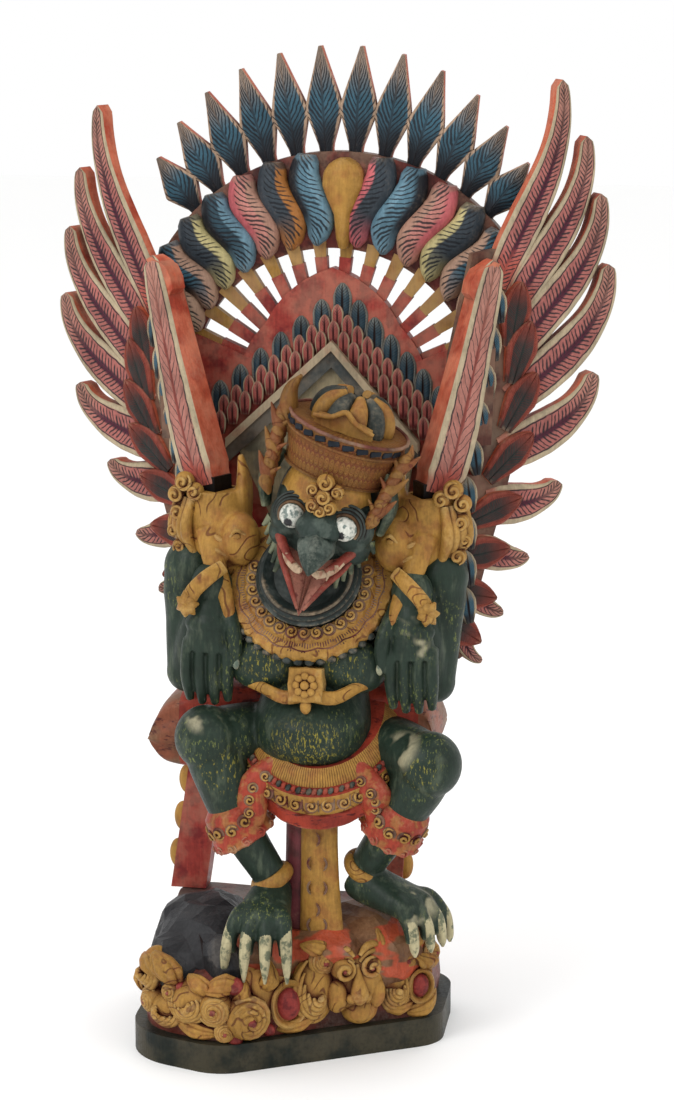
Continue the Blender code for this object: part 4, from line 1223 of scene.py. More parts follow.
class GARUDA_OT_body(bpy.types.Operator):
    """Carve the green body: trunk, arms with their fingers, legs and feet with their claws"""

    bl_idname = "garuda.body"
    bl_label = "Body"

    def execute(self, context):
        skin, hands, claws, nails = (Carving() for _ in range(4))
        torso_forms(skin)
        leg_forms(skin)
        for side in (-1, 1):
            arm_forms(skin, hands, nails, side)
        claw_forms(claws)
        green = skin_paint()
        skin.build("body_skin", green, *FIGURE, facet=sizes().skin_step, smooth=3)
        hands.build("hands", green, *FIGURE, facet=HAND_FACET, smooth=1)
        cream = pots().cream
        look = plain_paint("claw_cream", blend_colours(cream, (0.42, 0.40, 0.22), 0.5), (0.12, 0.13, 0.08),
                           patch=120.0)
        claws.build("claws", look, *FIGURE)
        nails.build("finger_nails", plain_paint("nail_green", (0.10, 0.13, 0.10), (0.30, 0.30, 0.20),
                                                patch=90.0),
                    *FIGURE)
        return {"FINISHED"}


def head_point(x, y, z):
    return np.array(HEAD + HEAD_TURN.to_matrix() @ Vector((x, y, z)), float)


def head_points(*points):
    return [head_point(*p) for p in points]


ACROSS_HEAD = tuple(HEAD_TURN.to_matrix() @ Vector((1, 0, 0)))
CROWN_TURN = Euler((radians(4), radians(18), radians(-3)))


def crown_points(*points):
    """Points of the crown, which leans further than the face below it."""
    seat = HEAD + HEAD_TURN.to_matrix() @ Vector((0, 0, 42))
    return [np.array(seat + CROWN_TURN.to_matrix() @ Vector((x, y, z - 42)), float) for x, y, z in points]


def crown_point(x, y, z):
    return crown_points((x, y, z))[0]


def eye_paint():
    """A white eyeball with a dark pupil and streaks of green round it."""
    look, nodes, shader = new_material("eye_white")
    _, along, _ = nodes.split(nodes.uv("share"))
    ragged = nodes.swing(nodes.noise(nodes.here(), 420.0, 3.0), 0.16)
    ring = nodes.plus(along, ragged)
    white = nodes.mix(nodes.step(nodes.noise(nodes.here(), 190.0, 4.0), 0.5, 0.62), (0.62, 0.62, 0.55),
                      (0.16, 0.20, 0.18))
    colour = nodes.mix(nodes.step(ring, 0.10, 0.14, 1.0, 0.0), white, (0.01, 0.01, 0.012))
    colour = nodes.mix(nodes.step(ring, 0.50, 0.58), colour, (0.02, 0.05, 0.04))
    finish_paint(nodes, shader, colour, recess=0.4, wear=0.0)
    shader.inputs["Coat Weight"].default_value = 0.4
    shader.inputs["Coat Roughness"].default_value = 0.2
    return look


def head_forms(head, ears):
    """Skull, sockets, cheeks and the root of the beak, with an ear and a row of tufts on each side."""
    turn = HEAD_TURN
    head.ball(head_point(0, 0, 8), (45, 41, 53), turn, 24)
    for side in (-1, 1):
        head.ball(head_point(2 + side * 26, -22, 0), (20, 19, 20), turn)
        head.ball(head_point(2 + side * 31, -18, -17), (14, 17, 14), turn)
        lobe = head_points((side * 47, -4, 50), (side * 55, -12, 26), (side * 51, -12, 0))
        ears.tube(lobe, [(4, 9), (7, 13), (4, 8)], 14, ACROSS_HEAD)
        for k in range(6):
            spot = (side * (44 - 4 * k), -12 - 4 * k, -10 - 5 * k)
            tuft = (side * (50 - 4.5 * k), -13 - 5 * k, -19 - 6 * k)
            ears.tube(head_points(spot, tuft), [(5, 5), (1.5, 1.5)], 10, ACROSS_HEAD)
        # The swelling over each nostril, where the beak begins
        head.ball(head_point(5 + side * 10, -49, 2), (10, 11, 10), turn)
    head.tube(head_points((2, -24, 14), (4, -40, 8), (6, -50, 2), (8, -55, -6)),
              [(14, 12), (16, 13), (17, 13), (16, 12)], 22, ACROSS_HEAD)


def beak_piece():
    """The upper beak: a flat top, two sides that fall from its ridge, and a sharp tip."""
    beak = Carving()
    stations = ((-46, -3, 13, 11), (-56, -6, 15.5, 13), (-64, -10, 16, 12), (-71, -16, 12, 9),
                (-75, -24, 6.5, 6), (-76, -31, 1, 2))
    corners = ((-1, -0.6), (-0.94, 0.1), (-0.55, 0.55), (0, 1.0), (0.55, 0.55), (0.94, 0.1), (1, -0.6),
               (0.5, -1), (-0.5, -1), (-1, -0.6))
    rings = []
    for k, (y, z, half, tall) in enumerate(stations):
        lean = 7 + 0.4 * k
        rings.append([head_point(lean + u * half, y - w * tall * 0.75, z + w * tall * 0.6)
                      for u, w in corners])
    beak.rings(np.stack([smooth_path([r[k] for r in rings], 4) for k in range(len(corners))], 1))
    return beak


EYE_MIDDLE, EYE_APART, EYE_HEIGHT = 2.6, 23.2, 6


def lid_forms(lids):
    """Ringed lids arch over each eye."""
    for side in (-1, 1):
        centre = (EYE_MIDDLE + side * EYE_APART, -37, EYE_HEIGHT)
        for k, (reach, out) in enumerate(((11.6, -5.0), (13.6, -2.6), (15.8, 0.2), (18.0, 3.4))):
            t = np.linspace(radians(-34), radians(214), 24)
            path = [head_point(centre[0] + reach * cos(a), centre[1] + out, centre[2] + reach * sin(a))
                    for a in t]
            lids.tube(path, [(1.5, 1.6)] * 24, 8, (0, -1, 0), 1, 1 if k == 0 else 0)


def mouth_pieces():
    """Red lips, cream teeth and the pink pointed lower jaw with its groove."""
    pink, lips, teeth = Carving(), Carving(), Carving()
    rings = []
    stations = ((-16, -20, 34, 9), (-30, -28, 30, 10), (-42, -38, 22, 9), (-51, -50, 13, 8),
                (-58, -62, 6, 5), (-61, -72, 1, 1.5))
    section = ((-1, 0), (-0.6, -0.35), (-0.12, -0.95), (0, -0.5), (0.12, -0.95), (0.6, -0.35), (1, 0),
               (0.6, -1.5), (0, -2), (-0.6, -1.5), (-1, 0))
    for k, (y, z, half, lower) in enumerate(stations):
        lean = 2 + 0.5 * k
        rings.append([head_point(lean + u * half, y + 2 * abs(u) + w * lower * -0.5, z + w * lower * 0.7)
                      for u, w in section])
    pink.rings(np.stack([smooth_path([r[k] for r in rings], 5) for k in range(len(section))], 1))
    for side, corner in ((-1, (-41, -15, 2)), (1, (43, -12, -4))):
        upper = head_points(corner, (2 + side * 34, -29, -15), (3 + side * 24, -42, -25),
                            (5 + side * 14, -56, -30))
        lips.tube(upper, [(2.6, 2.6), (4.4, 3.6), (4.0, 3.2), (2, 2)], 12, ACROSS_HEAD)
        lower = head_points((2 + side * 37, -20, -12), (2 + side * 28, -33, -32), (3 + side * 17, -47, -46),
                            (5 + side * 2.5, -60, -68))
        lips.tube(lower, [(2.6, 2.6), (3.2, 2.6), (2.8, 2.4), (1.4, 1.4)], 12, ACROSS_HEAD)
        wedge = head_points((4 + side * 27, -42, -24), (4 + side * 20, -48, -31), (5 + side * 10, -58, -34),
                            (5 + side * 5, -62, -33))
        teeth.tube(wedge, [(1.2, 1.6), (2.4, 3.4), (2.6, 3.8), (1.2, 2)], 14, (0, -1, 0.2))
        for share, drop in ((0.25, 7), (0.5, 11), (0.8, 7)):
            top = wedge[0] * (1 - share) + wedge[-1] * share
            teeth.tube([top, top + v3(0, -1, -drop * 0.5), top + v3(-side * 1.5, -1, -drop)],
                       [(2.4, 3.2), (1.9, 2.6), (0.3, 0.3)], 10)
    return pink, lips, teeth


def crown_pieces():
    """The flaring band with its dark inlays, curled tufts at the sides and the lobed bun."""
    band, inlay, tufts, bun_gold, bun_dark, edge = (Carving() for _ in range(6))
    profile = ((39, 43, 39), (40, 46, 42), (42, 46.5, 43), (43, 45, 41.5), (50, 46.5, 42.5),
               (60, 48.5, 44.5), (69, 50.5, 46.5), (71, 52.5, 48.5), (73, 52.5, 48.5), (74, 51, 47),
               (80, 52.5, 48.5), (82, 53.5, 49.5), (83, 50, 46))
    t = circle(97)
    rings = [crown_points(*[(a * cos(x), 2 + b * sin(x), z) for x in t]) for z, a, b in profile]
    share = np.stack(np.meshgrid(np.linspace(0, 1, 97), np.linspace(0, 1, len(profile) + 2)), -1)
    band.rings(rings, 0, share, share * np.array([300, 50]))
    for k in range(-5, 6):
        a = radians(-90 + k * 14)
        centre = crown_point(51.4 * cos(a), 2 + 47.4 * sin(a), 77.5)
        out = unit(centre - crown_point(0, 2, 77.5))
        right, up, _ = frame_round(out)
        inlay.tube([centre - right * 5.2, centre - right * 4.6, centre + right * 4.6, centre + right * 5.2],
                   [(1, 1), (3.0, 2), (3.0, 2), (1, 1)], 8, tuple(up), 1)
    ring = crown_points(*[(53 * cos(x), 2 + 49 * sin(x), 83) for x in t[::4]])
    edge.tube(ring, [(1.5, 1.5)] * len(ring), 8, (0, 0, 1), 1)
    for side in (-1, 1):
        # Flame-like locks stand beside the band, one row behind the other
        for k in range(9):
            low, out, way = 12 + 6.4 * k, 43 + 0.9 * k, (-1, 1, 0)[k % 3]
            path = crown_points((side * out, -30 + 3 * k, low), (side * (out + 6), -33 + 3 * k, low + 9),
                                (side * (out + 9 + 4 * way), -31 + 3 * k, low + 16),
                                (side * (out + 8 + 11 * way), -31 + 3 * k, low + 25))
            tufts.tube(path, [(2, 4), (6, 6), (3.4, 4), (0.6, 0.6)], 14, ACROSS_HEAD, 4, k % 2)
    path = crown_points((-46, -2, 62), (-54, -2, 80), (-57, 0, 96), (-52, 0, 110))
    tufts.tube(path, [(5, 9), (8, 12), (6, 9), (1.5, 3)], 16, ACROSS_HEAD)
    bun_dark.ball(crown_point(0, 6, 76), (34, 30, 32), CROWN_TURN, 20)
    for k in range(10):
        a = pi * 2 * k / 10 + 0.3
        path = crown_points(*[(r * sin(a), 7 - r * 0.9 * cos(a), z)
                              for r, z in ((27, 74), (29, 88), (24, 101), (12, 109))])
        target = bun_dark if k % 2 else bun_gold
        target.tube(path, [(8, 7), (9.4, 8.5), (8, 7.5), (4, 4)], 16, ACROSS_HEAD)
    # The pointed plate in front of the bun
    front = [(-27, 80), (-24, 92), (-10, 95), (0, 103), (10, 96), (24, 92), (27, 80)]
    bun_gold.slab(front, -31, -25, lambda x, z, y: crown_point(x, y + 0.01 * x * x, z), 0, (0, 84))
    cap = crown_points((-27, -28, 90), (-11, -33, 95), (0, -34, 103), (11, -33, 96), (27, -28, 90))
    bun_gold.tube(cap, [(1.5, 2), (2.2, 2.2), (2.4, 2.4), (2.2, 2.2), (1.5, 2)], 10, (0, -1, 0))
    return band, inlay, edge, tufts, bun_gold, bun_dark


def forehead_forms(gold):
    """The gold plate between crown and eyes, and the curled boss between the brows."""
    turn = np.array(HEAD_TURN.to_matrix())
    rows = []
    for k in range(13):
        lift = k / 12
        row = []
        for a in np.linspace(radians(-66), radians(66), 45):
            low = radians(17 + 9 * cos(6.2 * (a - 0.04)) * exp(-abs(a)) - 3)
            e = low + (radians(48) - low) * lift
            thick = 1.05 - 0.03 * (abs(a) / radians(66)) ** 6
            row.append((45 * thick * sin(a) * cos(e), -41 * thick * cos(a) * cos(e),
                        8 + 53 * thick * sin(e)))
        rows.append([np.array(HEAD, float) + turn @ v3(*p) for p in row])
    front = np.array(rows)
    inner = np.array(HEAD, float) + (front - np.array(HEAD, float)) * 0.93
    section = np.concatenate([front, inner[::-1], front[:1]])
    gold.grid(section)
    for a in (0, 44):
        gold.grid(np.stack([front[:, a], inner[:, a]], 1))


def boss_forms(boss):
    """Curls that climb from the root of the beak to the crown."""
    for x, y, z, size in ((4, -50, 10, 6), (-3, -50, 14, 6.5), (11, -49, 15, 6.5), (4, -47, 22, 8),
                          (-6, -45, 26, 6.5), (14, -44, 28, 6.5), (3, -44, 34, 8)):
        spot = head_point(x, y - 1, z + 8)
        boss.ball(spot, (size, size * 0.8, size), HEAD_TURN, 12)
        curl(boss, spot + v3(0, -size * 0.62, 0), (0, -1, 0.2), size * 0.8, 0.4 * x, 1 if x > 4 else -1, 8,
             0, 1.2)


class GARUDA_OT_head(bpy.types.Operator):
    """Carve the bird's head: face, eyes, beak, open jaw, crown and bun"""

    bl_idname = "garuda.head"
    bl_label = "Head"

    def execute(self, context):
        head, ears, eyes, lids = (Carving() for _ in range(4))
        head_forms(head, ears)
        slate = plain_paint("beak_slate", (0.022, 0.034, 0.028), (0.055, 0.072, 0.060), patch=60.0, wear=0.9,
                            worn=(0.16, 0.17, 0.14))
        head.build("head_skin", slate, *FIGURE, facet=HEAD_FACET, smooth=3)
        ears.build("ears", bpy.data.materials["green_skin"], *FIGURE)
        beak_piece().build("upper_beak", slate, *FIGURE, sharp=28)
        gaze = Euler((radians(116), 0, radians(-14)))
        for side in (-1, 1):
            eyes.ball(head_point(EYE_MIDDLE + side * EYE_APART, -42, EYE_HEIGHT), (11, 11, 11), gaze, 24)
        eyes.build("eyes", eye_paint(), *FIGURE)
        lid_forms(lids)
        lid_dark = plain_paint("lid_slate", (0.018, 0.026, 0.024), (0.04, 0.05, 0.045), wear=0.25,
                               worn=(0.10, 0.11, 0.09))
        lids.build("eye_lids",
                   [lid_dark, plain_paint("lid_brown", (0.12, 0.06, 0.025), (0.05, 0.025, 0.012))], *FIGURE)
        pink, lips, teeth = mouth_pieces()
        tongue = plain_paint("jaw_pink", (0.30, 0.12, 0.085), (0.15, 0.035, 0.03), patch=110.0, wear=0.5,
                             worn=(0.36, 0.20, 0.13))
        pink.build("lower_jaw", tongue, *FIGURE, sharp=55)
        lips.build("lips", plain_paint("lip_red", (0.22, 0.04, 0.028), (0.11, 0.018, 0.014), wear=0.5),
                   *FIGURE)
        teeth.build("teeth", plain_paint("tooth_cream", (0.42, 0.30, 0.20), (0.32, 0.17, 0.11), patch=120.0,
                                         wear=0.4), *FIGURE)
        band, inlay, edge, tufts, bun_gold, bun_dark = crown_pieces()
        gold = gold_paint("ornament_gold", engraved=34.0)
        brown = blend_colours(pots().gold, (0.09, 0.030, 0.010), 0.62)
        russet = blend_colours(brown, (0.13, 0.028, 0.014), 0.6)
        worn = [gold_paint("worn_gold", engraved=60.0, base=brown),
                gold_paint("russet_gold", engraved=60.0, base=russet)]
        band.build("crown_band", gold_paint("engraved_gold", cell=0.0046, base=brown), *FIGURE)
        navy = plain_paint("inlay_navy", (0.006, 0.009, 0.014), (0.012, 0.018, 0.026), wear=0.0)
        inlay.build("crown_inlays", navy, *FIGURE)
        edge.build("crown_edge", plain_paint("crown_rose", (0.13, 0.03, 0.022), (0.06, 0.014, 0.01)),
                   *FIGURE)
        tufts.build("crown_tufts", worn, *FIGURE)
        bun_gold.build("bun_gold", gold_paint("bun_ochre", base=blend_colours(pots().gold, brown, 0.4)),
                       *FIGURE)
        bun_dark.build("bun_dark", plain_paint("bun_slate", (0.022, 0.027, 0.024), (0.045, 0.05, 0.042)),
                       *FIGURE)
        forehead, boss = Carving(), Carving()
        forehead_forms(forehead)
        forehead.build("forehead", gold_paint("forehead_ochre", recess=0.7), *FIGURE, sharp=50)
        boss_forms(boss)
        boss.build("brow_curls", gold, *FIGURE, sharp=50)
        return {"FINISHED"}


def frame_round(facing):
    """Two ways across a round ornament that faces that way: right and up."""
    facing = unit(facing)
    right = unit(np.cross(v3(0, 0, 1), facing)) if abs(facing[2]) < 0.98 else v3(1, 0, 0)
    return right, np.cross(facing, right), facing


def dish(carving, centre, facing, stations, sides=48, scallops=0, depth=0.0, look=0):
    """A round moulding: stations are (height along the way it faces, radius)."""
    right, up, out = frame_round(facing)
    t = circle(sides + 1)
    rings = []
    for height, radius in stations:
        r = radius * (1 + depth * np.abs(np.cos(t * scallops / 2))) if scallops else np.full_like(t, radius)
        rings.append(oval(np.asarray(centre, float), right, up, r, r, t) + out * height)
    carving.rings(rings, look)


def curl(carving, centre, facing, size, turn=0.0, hand=1, sides=8, look=0, turns=1.4):
    """A small raised volute that winds in to its eye."""
    right, up, out = frame_round(facing)
    n = int(14 * turns)
    t = np.linspace(0, 1, n)
    angle = turn + hand * 2 * np.pi * turns * t
    reach = size * (1 - 0.82 * t)
    path = oval(np.asarray(centre, float), right, up, reach, reach, angle) + out * (size * 0.45 * t)[:, None]
    thick = size * np.interp(t, (0, 0.15, 0.7, 1), (0.10, 0.24, 0.24, 0.2))
    carving.tube(path, np.stack([thick, thick], -1), sides, tuple(out), 1, look)


SLANT = unit((0, -cos(radians(34)), sin(radians(34))))


def on_collar(degrees, radius, height):
    right, up, out = frame_round(SLANT)
    a = radians(degrees)
    return v3(-4, -34, 422) + right * radius * sin(a) - up * radius * cos(a) + out * height


def sunk_curl(carving, spot, facing, size, turn, hand):
    """A gold curl round a dot, on a dark red ground."""
    out = unit(facing)
    dish(carving, spot, facing, ((-1, size * 1.2), (0.5, size * 1.16), (0.7, 0.5)), 16, look=1)
    curl(carving, spot + out * 0.5, facing, size, turn, hand, turns=1.25)
    carving.ball(spot + out * 0.8, (size * 0.32,) * 3, None, 8)


COLLAR_RADII = (42, 45, 55, 57, 63, 69, 70.5)
COLLAR_HEIGHTS = (8, 12.5, 12, 9, 8, 6, 3)


def collar_pieces():
    """The sloping collar with its curls, combed lines and beads, and the ring round the neck."""
    collar, curls, beads, ring = (Carving() for _ in range(4))
    rim = list(zip(COLLAR_HEIGHTS, COLLAR_RADII))[::-1]
    dish(collar, (-4, -34, 422), SLANT, [(-10, 66), (-2, 69.5), *rim], 120, 34, 0.035)

    def on_top(degrees, radius, lift=0.0):
        return on_collar(degrees, radius, np.interp(radius, COLLAR_RADII, COLLAR_HEIGHTS) + lift)

    count = sizes().collar_curls
    for k in range(count):
        degrees = -108 + 216 * (k + 0.5) / count
        sunk_curl(curls, on_top(degrees, 50.5, 0.2), SLANT, 4.9, radians(degrees) + 1.5,
                  1 if degrees > 0 else -1)
    for k in range(count * 6):
        degrees = -110 + 220 * k / (count * 6 - 1)
        ends = (57.8, 61.5 + 1.2 * sin(k)), (64.5, 66 + 4 * (k % 6 == 0))
        for low, high in ends:
            curls.tube([on_top(degrees, low), on_top(degrees, high)], [(0.6, 0.6), (0.6, 0.6)], 6,
                       tuple(SLANT), 1, 1)
    line = [on_top(d, 62.6 + 2.2 * abs(cos(radians(d * 8.2))), 0.2) for d in np.arange(-110, 110.5, 1.5)]
    curls.tube(line, [(0.9, 0.7)] * len(line), 6, tuple(SLANT), 1, 1)
    for k in range(18):
        beads.ball(on_collar(-66 + 132 * k / 17, 72, 0.5), (4.2, 3.8, 3.4), None, 10)
    dish(ring, (-4, -42, 428), SLANT, ((-8, 44), (6, 45), (9, 46.5), (11, 45), (12, 42.5), (14, 44),
                                       (16, 42.5), (16.5, 39.5), (18, 40.5), (19, 38.5), (17, 35), (12, 30)),
                                       72)
    return collar, curls, beads, ring


def strap_pieces():
    """The strap across the chest, and the square brooch with a flower on it."""
    strap, brooch = Carving(), Carving()
    path = [(-71, -30, 374), (-74, -43, 354), (-62, -51, 340), (-42, -65, 336), (-22, -72, 330),
            (0, -73, 333), (22, -72, 331), (42, -63, 340), (55, -51, 343), (66, -43, 357), (63, -28, 376)]
    ends = [(2, 2), (3.4, 3), (4.4, 3.2), (5.2, 3.6)]
    strap.tube(path, ends + [(6.2, 4)] * 3 + ends[::-1], 16, (0, 0, 1))
    strap.tube([(54, -46, 350), (60, -44, 372), (62, -36, 396)], [(3, 3), (3, 3), (3, 3)], 10)
    flower = v3(-2, -70, 342)
    right, up, out = frame_round((0, -1, 0.15))
    rows = []
    for height, half in ((-8, 15.5), (8.5, 15.5), (9.5, 14.6), (9.5, 1)):
        t = circle(49)
        bulge = half / np.maximum(np.abs(np.cos(t)), np.abs(np.sin(t))) * (1 - 0.06 * np.abs(np.sin(2 * t)))
        rows.append(oval(flower, right, up, bulge, bulge, t) + out * height)
    brooch.rings(rows)
    for k in range(8):
        a = 2 * pi * k / 8
        spot = flower + right * 7.6 * cos(a) + up * 7.6 * sin(a) + out * 10.5
        brooch.ball(spot, (3.6, 2.6, 3.6), None, 10)
    brooch.ball(flower + out * 11.5, (4, 3.4, 4), None, 12)
    brooch.ball(flower - up * 19 + out * 4, (5, 4, 7), None, 10)
    return strap, brooch


def skirt_point(degrees, s):
    """A point of the draped band below the belly, from its top at 0 to its hem at 1."""
    a = radians(degrees)
    wide = np.interp(s, (0, 0.4, 1), (54, 68, 66))
    deep = np.interp(s, (0, 0.4, 1), (50, 56, 46))
    low = np.interp(s, (0, 1), (268, 212))
    high = np.interp(s, (0, 1), (306, 266))
    x = 4 + wide * sin(a)
    return v3(x, -24 - deep * cos(a), low + (high - low) * (1 - cos(a)))


def outward(degrees, rise=0.0):
    """The way out of the waist at that angle from its front."""
    return v3(sin(radians(degrees)), -cos(radians(degrees)), rise)


def skirt_pieces():
    """The cloth with its gold stripes, its curls and the row of beads along its belt."""
    cloth, curls, beads = (Carving() for _ in range(3))
    rows = []
    shares = np.linspace(0, 1, 29)
    angles = np.linspace(-112, 112, 113)
    for degrees in angles:
        row = [skirt_point(degrees, 0) - outward(degrees) * 16]
        for s in shares:
            bump = 1.5 * sin(pi * s) + (1.2 if 0.05 < s < 0.26 else 0) + (2.4 if 0.42 < s < 0.74 else 0)
            scallop = 1.0 - 0.35 * abs(sin(radians(degrees * 8))) if 0.70 < s < 0.76 else 1.0
            bump += 2.0 * abs(sin(radians(degrees * 11))) if s > 0.78 else 0
            row.append(skirt_point(degrees, s) + outward(degrees, 0.15) * bump * scallop)
        row.append(skirt_point(degrees, 1) - outward(degrees) * 22 + v3(0, 0, 6))
        rows.append(row)
    rows = np.array(rows)
    columns = np.array([0] + [1 if s < 0.26 else 0 if s < 0.42 else 2 if s < 0.74 else 0
                              for s in shares[:-1]] + [0])
    u, v = np.meshgrid(np.linspace(0, 1, rows.shape[1]), np.linspace(0, 1, rows.shape[0]))
    cloth.grid(rows, np.stack([u, v], -1), np.stack([u * 80, v * 280], -1), columns)
    for k in range(46):
        degrees = -90 + 180 * k / 45
        spot = skirt_point(degrees, 0.34) + outward(degrees) * 2.2
        beads.ball(spot, (2.4, 2.2, 3.4), Euler((0, 0.5, 0)), 8, k % 2)
    for k in range(17):
        degrees = -90 + 180 * k / 16
        out = unit(outward(degrees, 0.1))
        sunk_curl(curls, skirt_point(degrees, 0.58) + out * 4.4, out, 5.2, 1.2, 1 if k % 2 else -1)
        curls.tube([skirt_point(degrees + 5, s) + out * 4.2 for s in (0.48, 0.58, 0.68)], [(0.6, 0.6)] * 3,
                   6, (1, 0, 0), 1, 1)
    return cloth, curls, beads


def hip_cloth():
    """Cloth that flares out over each hip in grooved folds."""
    flare = Carving()
    sides = (
        [(-40, 262, 330), (-60, 258, 328), (-90, 244, 323), (-120, 242, 316), (-142, 246, 304),
         (-152, 258, 288), (-156, 268, 276)],
        [(42, 268, 330), (56, 264, 328), (70, 260, 325), (83, 256, 319), (93, 260, 310), (98, 268, 296),
         (100, 274, 284)],
    )
    for stations in sides:
        stations = smooth_path(stations, 6)
        rings = []
        for i, (x, low, high) in enumerate(stations):
            t = circle(41)
            middle, half = (low + high) / 2, (high - low) / 2
            z = middle + half * np.sin(t)
            fade = ease(i / len(stations), 0.0, 0.3)
            groove = 2.2 * fade * np.cos(t * 7)
            y = 29 - (46 + groove) * np.sign(np.cos(t)) * np.abs(np.cos(t)) ** 0.35
            rings.append(np.stack([np.full_like(t, x), np.minimum(y, 76.4), z], -1))
        inner = int(len(rings) * 0.55)
        flare.rings(rings[: inner + 1], 1)
        flare.rings(rings[inner:])
    back = [(-44, 300), (36, 300), (36, 396), (-44, 396)]
    flare.slab(back, 20, 76.4, lambda u, v, w: (u, w, v), 1)
    return flare


def sash_pieces():
    """The long sash with its painted crescents, and the lining beside it."""
    sash, lining = Carving(), Carving()
    sash.tube([(3, -36, 224), (3, -38, 190), (4, -40, 150), (6, -43, 104)],
              [(16.5, 8), (16.5, 8.5), (17.5, 9), (20, 10)], 24)
    for z, hands in ((196, (1,)), (174, (-1, 1)), (152, (-1, 1)), (132, (1,)), (118, (-1, 1))):
        for hand in hands:
            for k in range(2):
                t = np.linspace(-1.1, 1.1, 7)
                reach = 6 - 2 * k
                x = 3 + (6.5 * hand if len(hands) > 1 else 0)
                arc = [(x + hand * reach * (cos(a) - 0.6), -49.6 - (174 - z) * 0.03,
                        z + 1.15 * reach * sin(a)) for a in t]
                sash.tube(arc, [(0.3, 0.3), *[(0.55, 0.9)] * 5, (0.3, 0.3)], 6, (1, 0, 0), 1, 1)
    lining.tube([(-14, -24, 224), (-17, -26, 160), (-18, -28, 104)], [(15, 12), (13, 12), (15, 12)], 18)
    return sash, lining


def cuff_pieces():
    """The flared cloth round each shin and inner thigh, gold ankle rings and arm straps."""
    cuffs, rings, straps = Carving(), Carving(), Carving()
    for side, (_, _, shin, ankle) in zip((-1, 1), LEGS):
        ahead = unit(ankle - shin)
        right = unit(np.cross(ahead, v3(0, -1, 0)))
        front = np.cross(right, ahead)
        t = circle(73)
        rows = []
        for along, reach, ripple in ((-24, 17, 0), (-18, 24, 0), (-4, 26, 0.3), (6, 28, 1.2), (11, 29, 1.8),
                                     (13, 26, 1.8), (10, 17, 0)):
            r = reach + ripple * np.abs(np.sin(t * 6))
            rows.append(oval(shin + ahead * along, right, front, r, r, t))
        cuffs.rings(rows)
        inner = [v3(side * 30 + 4, -58, 268), v3(side * 52 + 3, -66, 248), shin + v3(-side * 14, -14, 18),
                 shin + v3(-side * 14, -12, -4)]
        cuffs.tube(inner, [(12, 8), (14, 9), (14, 9), (8, 6)], 18, (1, 0, 0.6 * side))
        spots = [(p + v3(0, -9, 0), unit((side * -0.2, -1, 0.1)), 4.2) for p in smooth_path(inner, 2)[1:5]]
        for k in range(12):
            a = 2 * pi * k / 12
            out = right * cos(a) + front * sin(a)
            spots.append((shin + ahead * (-7 + 2 * (k % 2)) + out * 25.5, out, 5.4))
            hem = shin + ahead * 9 + (right * cos(a + 0.26) + front * sin(a + 0.26)) * 27
            curl(cuffs, hem + out * 1.5, out, 4.6, a, 1 if k % 2 else -1, 8, 0, 1.2)
        for k, (spot, out, size) in enumerate(spots):
            dish(cuffs, spot, out, ((-2, size * 1.2), (0.3, size * 1.16), (0.6, 0.5)), 16, look=2)
            curl(cuffs, spot + out * 0.4, out, size, k, 1 if k % 2 else -1, 8, 1, 1.3)
        rings.tube([ankle + ahead * t for t in (-6.5, -4, 0, 4, 6.5)],
                   [(17, 17), (19.5, 19), (20.5, 20), (19.5, 19), (17, 17)], 32, tuple(right), 3)
    for side in (-1, 1):
        flower = v3(side * 105 - 2, -66, 409)
        band = [flower, flower - v3(side * 6, 6, -12), flower - v3(side * 18, 4, -24),
                flower - v3(side * 30, -6, -32)]
        straps.tube(band, [(7, 3), (7, 3.4), (7, 3.4), (6, 3)], 14, (side, 0, 1))
        _, _, out = frame_round((side * 0.3, -1, 0))
        for k in range(7):
            a = 2 * pi * k / 7
            petal = flower + v3(10 * cos(a), -3, 12 * sin(a))
            straps.tube([flower - v3(0, 4, 0), (flower + petal) / 2 - v3(0, 4, 0), petal],
                        [(3, 2), (3.4, 4.6), (1, 1)], 10, (0, 1, 0))
        straps.ball(flower + out * 5, (4, 3.4, 4), None, 10)
    return cuffs, rings, straps


